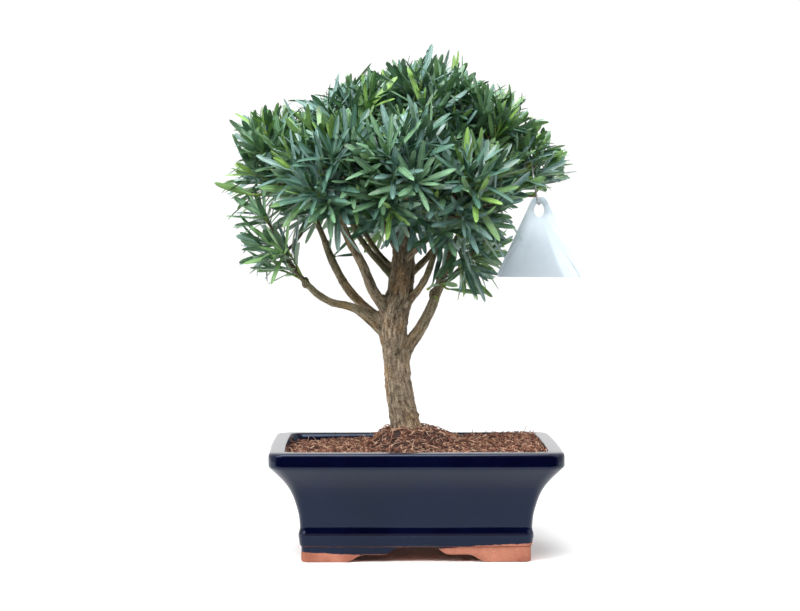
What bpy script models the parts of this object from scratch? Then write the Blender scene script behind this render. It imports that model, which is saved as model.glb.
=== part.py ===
"""A podocarpus bonsai in its glazed pot, about 45 cm tall, modelled in metres with +Z up.

The plant is a trunk, tapering boughs and masses of foliage. Each limb and each mass is its own
object. Every mass is a stem with twigs that spread by one seeded rule, and each twig carries a
whorl of long narrow leaves towards its tip. A blank label hangs on a wire in the crown and swings there.
"""

import math
import random
from dataclasses import dataclass

import bmesh
import bpy
import numpy as np
from mathutils import Matrix, Quaternion, Vector
from mathutils.bvhtree import BVHTree

MM = 0.001
GAP = 0.3 * MM
GOLDEN_ANGLE = math.pi * (3 - math.sqrt(5))

# The pot, seen from above as a rectangle with rounded corners and slightly bowed sides
POT_LENGTH = 256 * MM
POT_DEPTH = 200 * MM
POT_CORNER = 15 * MM
CORNER_TIGHTENING = 0.3
LEAST_CORNER = 4 * MM
SIDE_BOW = 1.0 * MM
CORNER_STEPS = 3
FLOOR_TOP = 22 * MM
DRAIN_RADIUS = 7 * MM
DRAIN_SPACING = 90 * MM

# The feet under it: each has a long low toe, a step and an arch up to the floor
FOOT_HEIGHT = 13.6 * MM
BASE_INSET = 28.5 * MM
FOOT_CORNER = 6.5 * MM
FOOT_THICKNESS = 15 * MM
FOOT_STEP = 6.5 * MM
FOOT_EDGE = 2 * MM
FOOT_START = 18.5 * MM
TOE_END = 61 * MM
STEP_OUTER = 45 * MM
STEP_INNER = 28 * MM
ARCH_HALF = 14 * MM
SIDE_ARCH = 0.74

# The mulch, a mound that is higher on the right and at the front
GROUND = 108 * MM
MULCH_EDGE = 93.5 * MM
MULCH_MOUND = 13.5 * MM
MULCH_SEAT = 19 * MM
MULCH_RINGS = 5
MULCH_RISE_RIGHT = 2.4 * MM
MULCH_RISE_FRONT = 1.4 * MM
MOUND_SPREAD_RIGHT = (100 * MM, 85 * MM)
MOUND_SPREAD_LEFT = (34 * MM, 60 * MM)
MULCH_CLEARANCE = 1.5 * GAP

# Limbs and stems
TRUNK_SIDES = 10
TRUNK_FLUTING = 0.05
BOUGH_SIDES = 7
STEM_SIDES = 5
STEM_TIP_RADIUS = 1.8 * MM
STEM_ROOT_SHARE = 0.96
STEM_BEND = 0.45

# Leaves and twigs
LEAF_LENGTH = 44 * MM
LEAF_WIDTH = 10 * MM
LEAF_THICKNESS = 1.6 * MM
LEAF_SHOULDERS = (0.26, 0.66)
LEAF_ATTEMPTS = 15
LEAF_SHORTENING = 0.028
LEAF_FACES = (
    (0, 2, 3), (2, 1, 3), (0, 5, 4), (4, 5, 1), (0, 4, 2), (2, 4, 1), (0, 3, 5), (3, 1, 5),
)
LEAF_FREE_FROM = 0.08
LEAF_PITCH = 4.2 * MM
LEAF_DEPTH = 0.3 * MM
LEAF_OPENINGS = (18, 31, 42, 51, 59, 66, 72)
LEAF_START = 2 * MM
BARE_TWIG = 0.25
OPENING_JITTER = 5
LEAST_OPENING = 16
TURN_JITTER = 0.4
TWIG_RADIUS = 1.5 * MM
TWIG_ROOT = 0.5
TWIG_ROOT_SPREAD = 0.4
TWIG_SPREAD = 1.8
SHOOT_REACH = 0.45
CELL_MARGIN = 0.4 * MM
SEED = 16

# The blank label on its wire
LABEL_HINGE = Vector((108, -38, 309)) * MM
LABEL_YAW = math.radians(-12)
LABEL_SWING = math.radians(15)
LABEL_WIDTH = 76 * MM
LABEL_HEIGHT = 70 * MM
LABEL_APEX = 11 * MM
LABEL_OVER_HINGE = 6.4 * MM
LABEL_THICKNESS = 1.0 * MM
LABEL_CORNER = 3.5 * MM
HOLE_HALF_WIDTH = 4.5 * MM
HOLE_HALF_HEIGHT = 6.0 * MM
WIRE_RADIUS = 0.8 * MM
LABEL_CLEARANCE = 2 * MM
HINGE_CLEARANCE = 12 * MM
HOOK_INSET = 6 * MM
HOOK_MASS = "foliage_right"
HOOK_TWIG_END = Vector((101, -33, 345)) * MM


@dataclass
class Limb:
    """A tapering limb: the points it runs through and its radius at each end, in millimetres."""

    name: str
    points: list
    base_radius: float
    tip_radius: float
    grows_from: str = "trunk"


@dataclass
class Mass:
    """A mass of foliage: the limb that carries it, its heart and its half-sizes, in millimetres."""

    name: str
    limb: str
    heart: tuple
    reach: tuple
    shoots: int = 8


# Where the trunk's centre line runs, from the mulch up to its tip, and its radius there
TRUNK = [
    ((-8.0, 0, 108), 16.5),
    ((-9.3, 0, 114), 13.8),
    ((-14.2, -1, 143), 12.6),
    ((-17.0, 0, 177), 12.0),
    ((-19.5, 0, 199), 12.8),
    ((-18.0, 0, 214), 13.4),
    ((-13.0, 0, 232), 11.0),
    ((-10.5, 0, 252), 10.2),
    ((-9.4, 1, 276), 8.8),
    ((-6.0, 2, 302), 6.0),
    ((-1.0, 1, 332), 4.0),
]

LIMBS = [
    Limb(
        "bough_low_left",
        [(-19, 0, 186), (-47.3, -8, 213), (-62, -10, 219), (-82, -10, 227.5), (-97.4, -10, 240.4)],
        base_radius=4.4,
        tip_radius=2.9,
    ),
    Limb(
        "bough_left",
        [(-20, 0, 199), (-43.7, 4, 217.2), (-60, 5, 234.7), (-72.5, 5, 257), (-80, 5, 277)],
        base_radius=4.5,
        tip_radius=3.2,
    ),
    Limb(
        "bough_front_left",
        [(-20, -2, 208), (-36.2, -12, 231.4), (-46.1, -20, 255.2), (-57.4, -27, 276.3), (-69, -36, 303)],
        base_radius=5.0,
        tip_radius=3.2,
    ),
    Limb(
        "bough_top_left",
        [(-14, 3, 238), (-29.9, 8, 255.9), (-43.7, 8, 272.2), (-57, 7, 296), (-62, 6, 328)],
        base_radius=3.0,
        tip_radius=2.2,
    ),
    Limb("bough_back_left", [(-12, 6, 246), (-31, 20, 264), (-46, 38, 286)], 2.9, 2.2),
    Limb("bough_back_top", [(-10, 4, 258), (-26, 16, 290), (-34, 30, 322)], 3.0, 2.3),
    Limb(
        "bough_right",
        [(-18, 0, 177), (-1, 0, 192.5), (18.7, -4, 232.9), (36.4, -4, 275), (62, -2, 312)],
        base_radius=5.2,
        tip_radius=3.0,
    ),
    Limb("bough_low_right", [(27.5, -4, 250), (35, -8, 256), (43, -12, 261)], 2.3, 2.0, "bough_right"),
    Limb(
        "bough_top_right",
        [(-12, -2, 216), (3.6, -8, 234.3), (12, -12, 250), (20, -13, 276), (32, -12, 318)],
        base_radius=3.6,
        tip_radius=2.4,
    ),
    Limb("bough_front", [(-9, 0, 268), (-11, -20, 286), (-14, -34, 302)], 2.9, 2.2),
    Limb("bough_front_right", [(-10, -2, 258), (7, -26, 275), (20, -42, 289)], 2.8, 2.1),
    Limb("bough_back_right", [(-11, 2, 240), (12, 20, 262), (34, 38, 290)], 3.2, 2.4),
    Limb("bough_back", [(-9, 2, 262), (-8, 26, 281), (-9, 50, 298)], 2.9, 2.2),
]

MASSES = [
    Mass("foliage_low_left", "bough_low_left", (-122, -8, 277), (54, 50, 47)),
    Mass("foliage_left", "bough_left", (-120, 5, 346), (62, 60, 60)),
    Mass("foliage_front_left", "bough_front_left", (-74, -56, 335), (60, 60, 60)),
    Mass("foliage_top_left", "bough_top_left", (-60, 6, 380), (62, 60, 58)),
    Mass("foliage_top", "trunk", (12, 0, 390), (62, 60, 60)),
    Mass("foliage_front", "bough_front", (-10, -65, 333), (58, 66, 64)),
    Mass("foliage_top_right", "bough_top_right", (64, -8, 371), (62, 60, 57)),
    Mass("foliage_right", "bough_right", (90, 4, 334), (56, 62, 56)),
    Mass("foliage_front_right", "bough_front_right", (42, -58, 314), (56, 62, 58)),
    Mass("foliage_low_right", "bough_low_right", (54, -2, 270), (44, 50, 48)),
    Mass("foliage_back_left", "bough_back_left", (-76, 66, 322), (64, 66, 66)),
    Mass("foliage_back_top", "bough_back_top", (-26, 58, 378), (62, 62, 56)),
    Mass("foliage_back", "bough_back", (-8, 80, 308), (58, 62, 60)),
    Mass("foliage_back_right", "bough_back_right", (58, 62, 324), (62, 64, 64)),
]

COLOURS = {
    "glaze": ((0.012, 0.018, 0.055), 0.08, 0.0),
    "terracotta": ((0.50, 0.19, 0.10), 0.8, 0.0),
    "mulch": ((0.25, 0.11, 0.06), 0.95, 0.0),
    "bark": ((0.24, 0.18, 0.12), 0.9, 0.0),
    "foliage": ((0.05, 0.16, 0.06), 0.45, 0.0),
    "label": ((0.78, 0.80, 0.84), 0.35, 0.6),
    "wire": ((0.45, 0.45, 0.46), 0.35, 1.0),
}


def clear_scene():
    """Removes whatever the file opened with."""
    for obj in list(bpy.data.objects):
        bpy.data.objects.remove(obj)


def material(name):
    """The Principled material of that name, made at its first use."""
    found = bpy.data.materials.get(name)
    if found:
        return found
    colour, roughness, metallic = COLOURS[name]
    made = bpy.data.materials.new(name)
    made.use_nodes = True
    shader = made.node_tree.nodes["Principled BSDF"]
    shader.inputs["Base Color"].default_value = (*colour, 1)
    shader.inputs["Roughness"].default_value = roughness
    shader.inputs["Metallic"].default_value = metallic
    return made


def mesh_object(name, bm, finish=None):
    """An object of the bmesh's shape, with its faces turned outwards."""
    bmesh.ops.recalc_face_normals(bm, faces=bm.faces)
    mesh = bpy.data.meshes.new(name)
    bm.to_mesh(mesh)
    bm.free()
    obj = bpy.data.objects.new(name, mesh)
    bpy.context.scene.collection.objects.link(obj)
    if finish:
        mesh.materials.append(material(finish))
        mesh.shade_smooth()
        mesh.set_sharp_from_angle(angle=math.radians(35))
    return obj


def helper(obj):
    """Marks an object as a cutter that isn't part of the plant."""
    obj.hide_render = True
    obj.display_type = "WIRE"
    return obj


def loft(rings):
    """A closed bmesh whose skin runs from ring to ring, with a face across each end."""
    bm = bmesh.new()
    loops = [[bm.verts.new(point) for point in ring] for ring in rings]
    count = len(loops[0])
    for low, high in zip(loops, loops[1:]):
        for i in range(count):
            j = (i + 1) % count
            bm.faces.new((low[i], low[j], high[j], high[i]))
    bm.faces.new(reversed(loops[0]))
    bm.faces.new(loops[-1])
    return bm


def boolean(obj, operation, other):
    """Adds a Boolean modifier to obj."""
    modifier = obj.modifiers.new(operation.title(), "BOOLEAN")
    modifier.operation = operation
    modifier.solver = "EXACT"
    modifier.object = other


def rounded_rectangle(inset, height):
    """A ring of the pot's plan outline, moved in by inset, at that height."""
    half_x = POT_LENGTH / 2 - inset
    half_y = POT_DEPTH / 2 - inset
    radius = max(POT_CORNER - CORNER_TIGHTENING * inset, LEAST_CORNER)
    ring = []
    for quarter in range(4):
        start = quarter * math.pi / 2
        side_x = 1 if quarter in (0, 3) else -1
        side_y = 1 if quarter in (0, 1) else -1
        for step in range(CORNER_STEPS + 1):
            angle = start + math.pi / 2 * step / CORNER_STEPS
            x = side_x * (half_x - SIDE_BOW - radius) + radius * math.cos(angle)
            y = side_y * (half_y - SIDE_BOW - radius) + radius * math.sin(angle)
            ring.append(Vector((x, y, height)))
        middle = start + math.pi / 2
        x, y = half_x * round(math.cos(middle)), half_y * round(math.sin(middle))
        ring.append(Vector((x, y, height)))
    return ring


def pot_outside():
    """The outer wall's profile as (inset, height), from the floor's underside up to the rim."""
    return [
        (27.6, 13.6), (25.9, 14.6), (25.4, 17.2), (26.2, 20.6), (25.4, 24.6), (26.4, 28.0),
        (26.7, 33.0), (25.6, 40.5), (23.4, 49.0), (20.4, 58.5), (17.5, 66.0), (13.2, 72.5),
        (6.8, 79.2), (2.3, 84.0), (0.5, 88.0), (0.0, 91.0), (0.7, 94.8), (3.0, 97.0),
    ]


def pot_inside():
    """The inner wall's profile as (inset, height), from the rim down to the floor."""
    return [
        (12.6, 97.0), (14.0, 95.6), (18.0, 84.0), (24.5, 74.0), (32.0, 58.0), (36.0, 40.0),
        (38.0, FLOOR_TOP / MM),
    ]


def make_pot():
    """The glazed bowl with its rim and drain holes."""
    rings = [rounded_rectangle(i * MM, z * MM) for i, z in pot_outside() + pot_inside()]
    pot = mesh_object("pot", loft(rings), "glaze")
    for side in (-1, 1):
        bm = bmesh.new()
        bmesh.ops.create_cone(
            bm,
            cap_ends=True,
            segments=12,
            radius1=DRAIN_RADIUS,
            radius2=DRAIN_RADIUS,
            depth=2 * FLOOR_TOP,
            matrix=Matrix.Translation((side * DRAIN_SPACING / 2, 0, FLOOR_TOP)),
        )
        boolean(pot, "DIFFERENCE", helper(mesh_object("drain_cutter", bm)))
    return pot


def ogee(start, end, steps=4):
    """Points that swing smoothly from start to end, both (along, up), end left out."""
    points = []
    for i in range(steps):
        t = i / steps
        eased = t * t * (3 - 2 * t)
        points.append((start[0] + (end[0] - start[0]) * t, start[1] + (end[1] - start[1]) * eased))
    return points


def arch_cutter(name, share, turn, span):
    """The space under the pot between two feet, scaled by share and drawn across span at that turn."""
    toe, step_out = (TOE_END, 0), (STEP_OUTER, FOOT_STEP)
    step_in, arch = (STEP_INNER, FOOT_STEP), (ARCH_HALF, FOOT_HEIGHT)
    half = [(TOE_END, -FOOT_STEP)]
    half += ogee(toe, step_out) + ogee(step_out, step_in, 1) + ogee(step_in, arch) + [arch]
    outline = half + [(-along, up) for along, up in reversed(half)]
    rings = [[Vector((along * share, y, up)) for along, up in outline] for y in (-span, span)]
    bm = loft(rings)
    bm.transform(Matrix.Rotation(turn, 4, "Z"))
    return helper(mesh_object(name, bm))


def foot_plan(side_x, side_y, inset, height):
    """The L of a foot seen from above, with a round corner under the pot's own, at that height."""
    far_x = POT_LENGTH / 2 - BASE_INSET - inset
    far_y = POT_DEPTH / 2 - BASE_INSET - inset
    near_x = far_x - FOOT_THICKNESS + 2 * inset
    near_y = far_y - FOOT_THICKNESS + 2 * inset
    start_y = FOOT_START * SIDE_ARCH
    radius = FOOT_CORNER - inset
    plan = [(FOOT_START, far_y)]
    for step in range(CORNER_STEPS + 1):
        angle = math.pi / 2 * (1 - step / CORNER_STEPS)
        across, deep = radius * math.cos(angle), radius * math.sin(angle)
        plan.append((far_x - radius + across, far_y - radius + deep))
    plan += [(far_x, start_y), (near_x, start_y), (near_x, near_y), (FOOT_START, near_y)]
    return [Vector((side_x * x, side_y * y, height)) for x, y in plan]


def make_feet():
    """Four feet in bare clay, each an L under a corner of the pot, arched towards the next."""
    arches = [
        arch_cutter("long_arch", 1.0, 0, POT_DEPTH),
        arch_cutter("short_arch", SIDE_ARCH, math.pi / 2, POT_LENGTH),
    ]
    feet = []
    for side_y, row in ((-1, "front"), (1, "back")):
        for side_x, hand in ((-1, "left"), (1, "right")):
            levels = ((FOOT_EDGE, 0), (0, FOOT_EDGE), (0, FOOT_HEIGHT - GAP))
            rings = [foot_plan(side_x, side_y, inset, height) for inset, height in levels]
            foot = mesh_object(f"foot_{row}_{hand}", loft(rings), "terracotta")
            for arch in arches:
                boolean(foot, "DIFFERENCE", arch)
            feet.append(foot)
    return feet


def mulch_height(x, y):
    """The mulch's surface: a mound round the trunk, with a long slope on the right."""
    foot = Vector(TRUNK[0][0]) * MM
    slope = MULCH_RISE_RIGHT * x / (POT_LENGTH / 2) - MULCH_RISE_FRONT * y / (POT_DEPTH / 2)
    spread_x, spread_y = MOUND_SPREAD_RIGHT if x > foot.x else MOUND_SPREAD_LEFT
    mound = math.exp(-(((x - foot.x) / spread_x) ** 2) - (y / spread_y) ** 2)
    return min(MULCH_EDGE + slope + MULCH_MOUND * mound, GROUND - GAP)


def make_mulch():
    """The soil that fills the pot, with its mulch on top and a level seat for the trunk."""
    foot = Vector(TRUNK[0][0]) * MM
    _, lip, *below = pot_inside()
    walls = []
    for inset, height in reversed(below):
        lift = MULCH_CLEARANCE if height * MM <= FLOOR_TOP else 0
        walls.append(rounded_rectangle(inset * MM + MULCH_CLEARANCE, height * MM + lift))
    rim = []
    for a, b in zip(walls[-1], rounded_rectangle(lip[0] * MM + MULCH_CLEARANCE, lip[1] * MM)):
        rim.append(a.lerp(b, (mulch_height(a.x, a.y) - a.z) / (b.z - a.z)))
    seat = [foot + Vector((p.x - foot.x, p.y - foot.y, 0)).normalized() * MULCH_SEAT for p in rim]
    tops = []
    for i in range(MULCH_RINGS):
        share = (i / MULCH_RINGS) ** 0.85
        ring = [edge.lerp(inner, share) for edge, inner in zip(rim, seat)]
        tops.append([Vector((p.x, p.y, mulch_height(p.x, p.y))) for p in ring])
    tops.append([Vector((p.x, p.y, GROUND - GAP)) for p in seat])
    return mesh_object("mulch", loft(walls + tops), "mulch")


def smooth_path(points, per_span):
    """Points on a smooth curve through the given ones, with per_span steps between each two."""
    count = len(points)
    path = []
    for i in range(count - 1):
        before = points[max(i - 1, 0)]
        after = points[min(i + 2, count - 1)]
        a, b = points[i], points[i + 1]
        for step in range(per_span):
            t = step / per_span
            curve = (2 * a) + (b - before) * t + (2 * before - 5 * a + 4 * b - after) * t * t
            path.append(0.5 * (curve + (3 * a - before - 3 * b + after) * t ** 3))
    path.append(points[-1].copy())
    return path


def tube_rings(path, radii, sides, fluting=0.0, setting_out=None):
    """Rings of a tube along path, each square to it, turned as little as possible on the way."""
    rings = []
    frame = Vector((0, 0, 1))
    turn = Quaternion()
    for i, (centre, radius) in enumerate(zip(path, radii)):
        ahead = (path[min(i + 1, len(path) - 1)] - path[max(i - 1, 0)]).normalized()
        if i == 0 and setting_out:
            ahead = setting_out
        turn = frame.rotation_difference(ahead) @ turn
        frame = ahead
        ring = []
        for side in range(sides):
            angle = 2 * math.pi * side / sides
            grown = radius * (1 + fluting * math.cos(3 * angle + 0.4 * i))
            spoke = Vector((grown * math.cos(angle), grown * math.sin(angle), 0))
            ring.append(centre + turn @ spoke)
        rings.append(ring)
    return rings


def trunk_line():
    """The trunk's centre line and its radius at each point."""
    path = smooth_path([Vector(point) * MM for point, _ in TRUNK], 2)
    radii = smooth_path([Vector((radius * MM, 0, 0)) for _, radius in TRUNK], 2)
    return path, [r.x for r in radii]


def trunk_rings(path, radii):
    """The trunk's rings, level at the mulch and square to the trunk a little higher."""
    rings = tube_rings(path, radii, TRUNK_SIDES, fluting=TRUNK_FLUTING)
    for centre, ring in zip(path, rings):
        square = min((centre.z - GROUND) / (2 * radii[0]), 1)
        for point in ring:
            point.z = centre.z + (point.z - centre.z) * square
    return rings


def make_trunk():
    """The trunk, from a level cut on the mulch to its tip."""
    path, radii = trunk_line()
    return mesh_object("trunk", loft(trunk_rings(path, radii)), "bark")


def trunk_cutter():
    """The trunk's shape a gap larger all round, which trims the boughs' roots."""
    path, radii = trunk_line()
    return helper(mesh_object("trunk_cutter", loft(trunk_rings(path, [r + GAP for r in radii]))))


def limb_line(limb):
    """A limb's centre line and its radius at each point."""
    path = smooth_path([Vector(p) * MM for p in limb.points], 2)
    taper = (limb.tip_radius - limb.base_radius) / (len(path) - 1)
    return path, [(limb.base_radius + taper * i) * MM for i in range(len(path))]


def make_limb(limb, cutters):
    """One bough, trimmed where it leaves the trunk or another bough."""
    path, radii = limb_line(limb)
    obj = mesh_object(limb.name, loft(tube_rings(path, radii, BOUGH_SIDES)), "bark")
    boolean(obj, "DIFFERENCE", cutters[limb.grows_from])
    if any(other.grows_from == limb.name for other in LIMBS):
        skin = loft(tube_rings(path, [r + GAP for r in radii], BOUGH_SIDES))
        cutters[limb.name] = helper(mesh_object(limb.name + "_cutter", skin))
    return obj


class Clearance:
    """Everything that leaves keep clear of: the limbs, the stems, the wire and the label's sweep."""

    def __init__(self):
        """Starts with nothing to keep clear of."""
        self.starts, self.ends, self.radii = [], [], []

    def add(self, path, radii):
        """Adds a limb as the straight pieces between its points."""
        for a, b, r in zip(path, path[1:], radii):
            self.starts.append(a)
            self.ends.append(b)
            self.radii.append(r)

    def free(self, points, radius, own):
        """Whether no point comes within radius of a limb. Those numbered in own don't count."""
        starts = np.array(self.starts)
        along = np.array(self.ends) - starts
        limits = np.array(self.radii) + radius + GAP
        limits[own[0] : own[1]] = 0
        for point in points:
            away = np.array(point) - starts
            share = np.clip((away * along).sum(1) / (along * along).sum(1), 0, 1)
            if (np.linalg.norm(away - along * share[:, None], axis=1) < limits).any():
                return False
        return not any(in_label_sweep(point, radius) for point in points)


def label_axes():
    """The label's unit directions: along its width, out of its front, and up."""
    turn = Matrix.Rotation(LABEL_YAW, 3, "Z")
    return turn @ Vector((1, 0, 0)), turn @ Vector((0, -1, 0)), Vector((0, 0, 1))


def in_label_sweep(point, radius):
    """Whether a point is within radius of the slab that the label sweeps as it swings."""
    across, front, up = label_axes()
    away = point - LABEL_HINGE
    if abs(away.dot(front)) > LABEL_THICKNESS / 2 + radius + GAP:
        return False
    side, drop = away.dot(across), -away.dot(up)
    distance = math.hypot(side, drop)
    reach = math.hypot(LABEL_WIDTH / 2, LABEL_HEIGHT - LABEL_OVER_HINGE)
    if distance > reach + radius + GAP:
        return False
    spread = math.atan2(LABEL_WIDTH / 2, LABEL_HEIGHT - LABEL_OVER_HINGE) + LABEL_SWING
    edge = distance * math.sin(max(abs(math.atan2(side, drop)) - spread, 0))
    return distance < HINGE_CLEARANCE or edge < radius + LABEL_CLEARANCE


def in_cell(point, mass):
    """Whether a point lies in the mass's own space: nearer to its heart than to any other."""
    heart = Vector(mass.heart) * MM
    for other in MASSES:
        if other is mass:
            continue
        across = Vector(other.heart) * MM - heart
        if (point - heart).dot(across.normalized()) > across.length / 2 - CELL_MARGIN:
            return False
    return True


def stem_line(mass, limb_path, limb_radii):
    """A mass's stem, from a gap past its limb's tip to the mass's heart."""
    heading = (limb_path[-1] - limb_path[-2]).normalized()
    start = limb_path[-1] + heading * GAP
    heart = Vector(mass.heart) * MM
    bend = start + heading * (heart - start).length * STEM_BEND
    path = [start.lerp(bend, t).lerp(bend.lerp(heart, t), t) for t in (0, 1 / 3, 2 / 3, 1)]
    first = limb_radii[-1] * STEM_ROOT_SHARE
    radii = [first + (STEM_TIP_RADIUS - first) * i / 3 for i in range(4)]
    return path, radii, heading


def within_reach(point, mass):
    """Whether a point lies inside the mass's ellipsoid."""
    away = point - Vector(mass.heart) * MM
    return Vector([a / (r * MM) for a, r in zip(away, mass.reach)]).length < 1


def twig_lines(mass, stem_path, rng):
    """A mass's twigs as (root, end), spread round its heart by the golden angle."""
    heart = Vector(mass.heart) * MM
    lines = []
    turn = rng.uniform(0, 2 * math.pi)
    for i in range(mass.shoots):
        up = 1 - TWIG_SPREAD * (i + 0.5) / mass.shoots
        level = math.sqrt(max(1 - up * up, 0))
        angle = turn + i * GOLDEN_ANGLE
        way = Vector((level * math.cos(angle), level * math.sin(angle), up))
        end = heart + Vector([w * r * MM * SHOOT_REACH for w, r in zip(way, mass.reach)])
        root = stem_path[1].lerp(stem_path[-1], TWIG_ROOT + TWIG_ROOT_SPREAD * up)
        lines.append((root, end))
    return lines


def leaf_points(root, way, face, length):
    """A leaf's six corners: root, tip and two pairs of shoulders, which give it thickness."""
    across = way.cross(face).normalized() * LEAF_WIDTH / 2
    out = face.normalized() * LEAF_THICKNESS / 2
    corners = [root, root + way * length]
    for share, lift in zip(LEAF_SHOULDERS, (out, -out)):
        shoulder = root + way * length * share + lift
        corners += [shoulder - across, shoulder + across]
    return corners


def leaf_grid(corners):
    """Points spread over a leaf, to measure its clearance by."""
    root, tip, low_a, low_b, high_a, high_b = corners
    grid = []
    for share in (0, 0.25, 0.5, 0.75, 1):
        low, high = low_a.lerp(low_b, share), high_a.lerp(high_b, share)
        grid += [root.lerp(low, 0.5), high.lerp(tip, 0.5)]
        grid += [low.lerp(high, along) for along in (0, 0.33, 0.67, 1)]
    return grid + [root.lerp(tip, 0.93), tip]


def leaf_object(corners):
    """One leaf as a flat eight-faced blade."""
    bm = bmesh.new()
    verts = [bm.verts.new(corner) for corner in corners]
    for face in LEAF_FACES:
        bm.faces.new([verts[k] for k in face])
    return mesh_object("leaf", bm)


def blade(corners):
    """A leaf's faces without its root, to find leaves that cross by."""
    root, tip = corners[:2]
    return BVHTree.FromPolygons([root.lerp(tip, LEAF_FREE_FROM)] + corners[1:], LEAF_FACES)


def leaf_fits(corners, mass, clearance, own, blades, twigs):
    """Whether a leaf stays in the mass's space, clear of every limb and across no other leaf."""
    if not within_reach(corners[1], mass) or not all(in_cell(c, mass) for c in corners):
        return False
    if not clearance.free(leaf_grid(corners), LEAF_THICKNESS, own):
        return False
    flat = blade(corners)
    if any(flat.overlap(other) for other in blades + twigs):
        return False
    blades.append(flat)
    return True


def shoot_leaves(twig, rings, mass, clearance, own, blades, others, rng):
    """The leaves of one shoot: they leave its three sides in turn and open out away from its tip."""
    root, end = twig
    heading = (end - root).normalized()
    sides = [rings[1][k] + rings[1][(k + 1) % 3] - 2 * end for k in range(3)]
    leaves = []
    for i, opening in enumerate(LEAF_OPENINGS):
        place = end - heading * (LEAF_START + LEAF_PITCH * i)
        if (place - root).dot(heading) < BARE_TWIG * (end - root).length:
            break
        for attempt in range(LEAF_ATTEMPTS):
            side = sides[(i + attempt // 3) % 3].normalized()
            around = Quaternion(heading, rng.uniform(-TURN_JITTER, TURN_JITTER)) @ side
            jitter = rng.uniform(-OPENING_JITTER, OPENING_JITTER) * (1 + 0.2 * attempt)
            angle = math.radians(max(opening + jitter, LEAST_OPENING))
            way = heading * math.cos(angle) + around * math.sin(angle)
            face = heading * math.sin(angle) - around * math.cos(angle)
            length = LEAF_LENGTH * (1 - LEAF_SHORTENING * attempt)
            corners = leaf_points(place + around * LEAF_DEPTH, way, face, length)
            if leaf_fits(corners, mass, clearance, own, blades, others):
                leaves.append(leaf_object(corners))
                break
    return leaves


def biggest_shell(obj):
    """Keeps the largest closed shell of a mesh, so that scraps and sealed hollows go."""
    bm = bmesh.new()
    bm.from_mesh(obj.data)
    left = set(bm.faces)
    shells = []
    while left:
        shell, front = set(), [next(iter(left))]
        while front:
            face = front.pop()
            if face in shell:
                continue
            shell.add(face)
            front.extend(other for edge in face.edges for other in edge.link_faces)
        left -= shell
        shells.append(shell)
    keep = max(shells, key=len)
    bmesh.ops.delete(bm, geom=[face for face in bm.faces if face not in keep], context="FACES")
    bm.to_mesh(obj.data)
    bm.free()


def closed(mesh):
    """Whether every edge of a mesh has two faces."""
    bm = bmesh.new()
    bm.from_mesh(mesh)
    whole = all(edge.is_manifold for edge in bm.edges)
    bm.free()
    return whole


def fuse(obj, others, finish):
    """Joins the others into obj with one Boolean union, and removes them."""
    pieces = bpy.data.collections.new(obj.name + "_pieces")
    bpy.context.scene.collection.children.link(pieces)
    for other in others:
        bpy.context.scene.collection.objects.unlink(other)
        pieces.objects.link(other)
    modifier = obj.modifiers.new("Union", "BOOLEAN")
    modifier.operation = "UNION"
    modifier.operand_type = "COLLECTION"
    modifier.collection = pieces
    for solver in ("EXACT", "MANIFOLD"):
        modifier.solver = solver
        graph = bpy.context.evaluated_depsgraph_get()
        fused = bpy.data.meshes.new_from_object(obj.evaluated_get(graph))
        if closed(fused) and len(fused.polygons) > 6 * len(others):
            break
    obj.modifiers.clear()
    obj.data = fused
    for other in others:
        bpy.data.objects.remove(other)
    bpy.data.collections.remove(pieces)
    biggest_shell(obj)
    fused.materials.clear()
    fused.materials.append(material(finish))


def twig_fits(twig, mass, clearance, own):
    """Whether a twig, past its root in the stem, stays in the mass's space and clear of every limb."""
    inside = [twig[0].lerp(twig[1], share) for share in (0.3, 0.5, 0.7, 0.85, 1)]
    if not all(in_cell(point, mass) for point in inside):
        return False
    return clearance.free(inside, TWIG_RADIUS, own)


def make_mass(mass, stem, clearance, own):
    """One mass of foliage: its stem, its twigs and their leaves, fused into one solid."""
    rng = random.Random(f"{mass.name} {SEED}")
    path, radii, setting_out = stem
    bm = loft(tube_rings(path, radii, STEM_SIDES, setting_out=setting_out))
    solids = [BVHTree.FromBMesh(bm)]
    obj = mesh_object(mass.name, bm)
    lines = twig_lines(mass, path, rng)
    lines = [line for line in lines if twig_fits(line, mass, clearance, own)]
    if mass.name == HOOK_MASS:
        lines.append(hook_twig())
    twigs, parts, blades = [], [], []
    for line in lines:
        rings = tube_rings(line, (1.15 * TWIG_RADIUS, 0.85 * TWIG_RADIUS), 3)
        bm = loft(rings)
        twigs.append((line, rings))
        solids.append(BVHTree.FromBMesh(bm))
        parts.append(mesh_object("twig", bm))
    for i, (line, rings) in enumerate(twigs):
        others = solids[: i + 1] + solids[i + 2 :]
        parts += shoot_leaves(line, rings, mass, clearance, own, blades, others, rng)
    fuse(obj, parts, "foliage")
    return obj


def label_outline():
    """The label's outline as (across, up) from its hinge: a triangle with its apex cut off."""
    top = LABEL_OVER_HINGE
    low = top - LABEL_HEIGHT
    corners = [
        Vector((-LABEL_WIDTH / 2, low)), Vector((LABEL_WIDTH / 2, low)),
        Vector((LABEL_APEX / 2, top)), Vector((-LABEL_APEX / 2, top)),
    ]
    outline = []
    for i, corner in enumerate(corners):
        before, after = corners[i - 1], corners[(i + 1) % 4]
        start = corner + (before - corner).normalized() * LABEL_CORNER
        end = corner + (after - corner).normalized() * LABEL_CORNER
        outline += [start.lerp(corner, t).lerp(corner.lerp(end, t), t) for t in (0, 0.5, 1)]
    return outline


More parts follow.
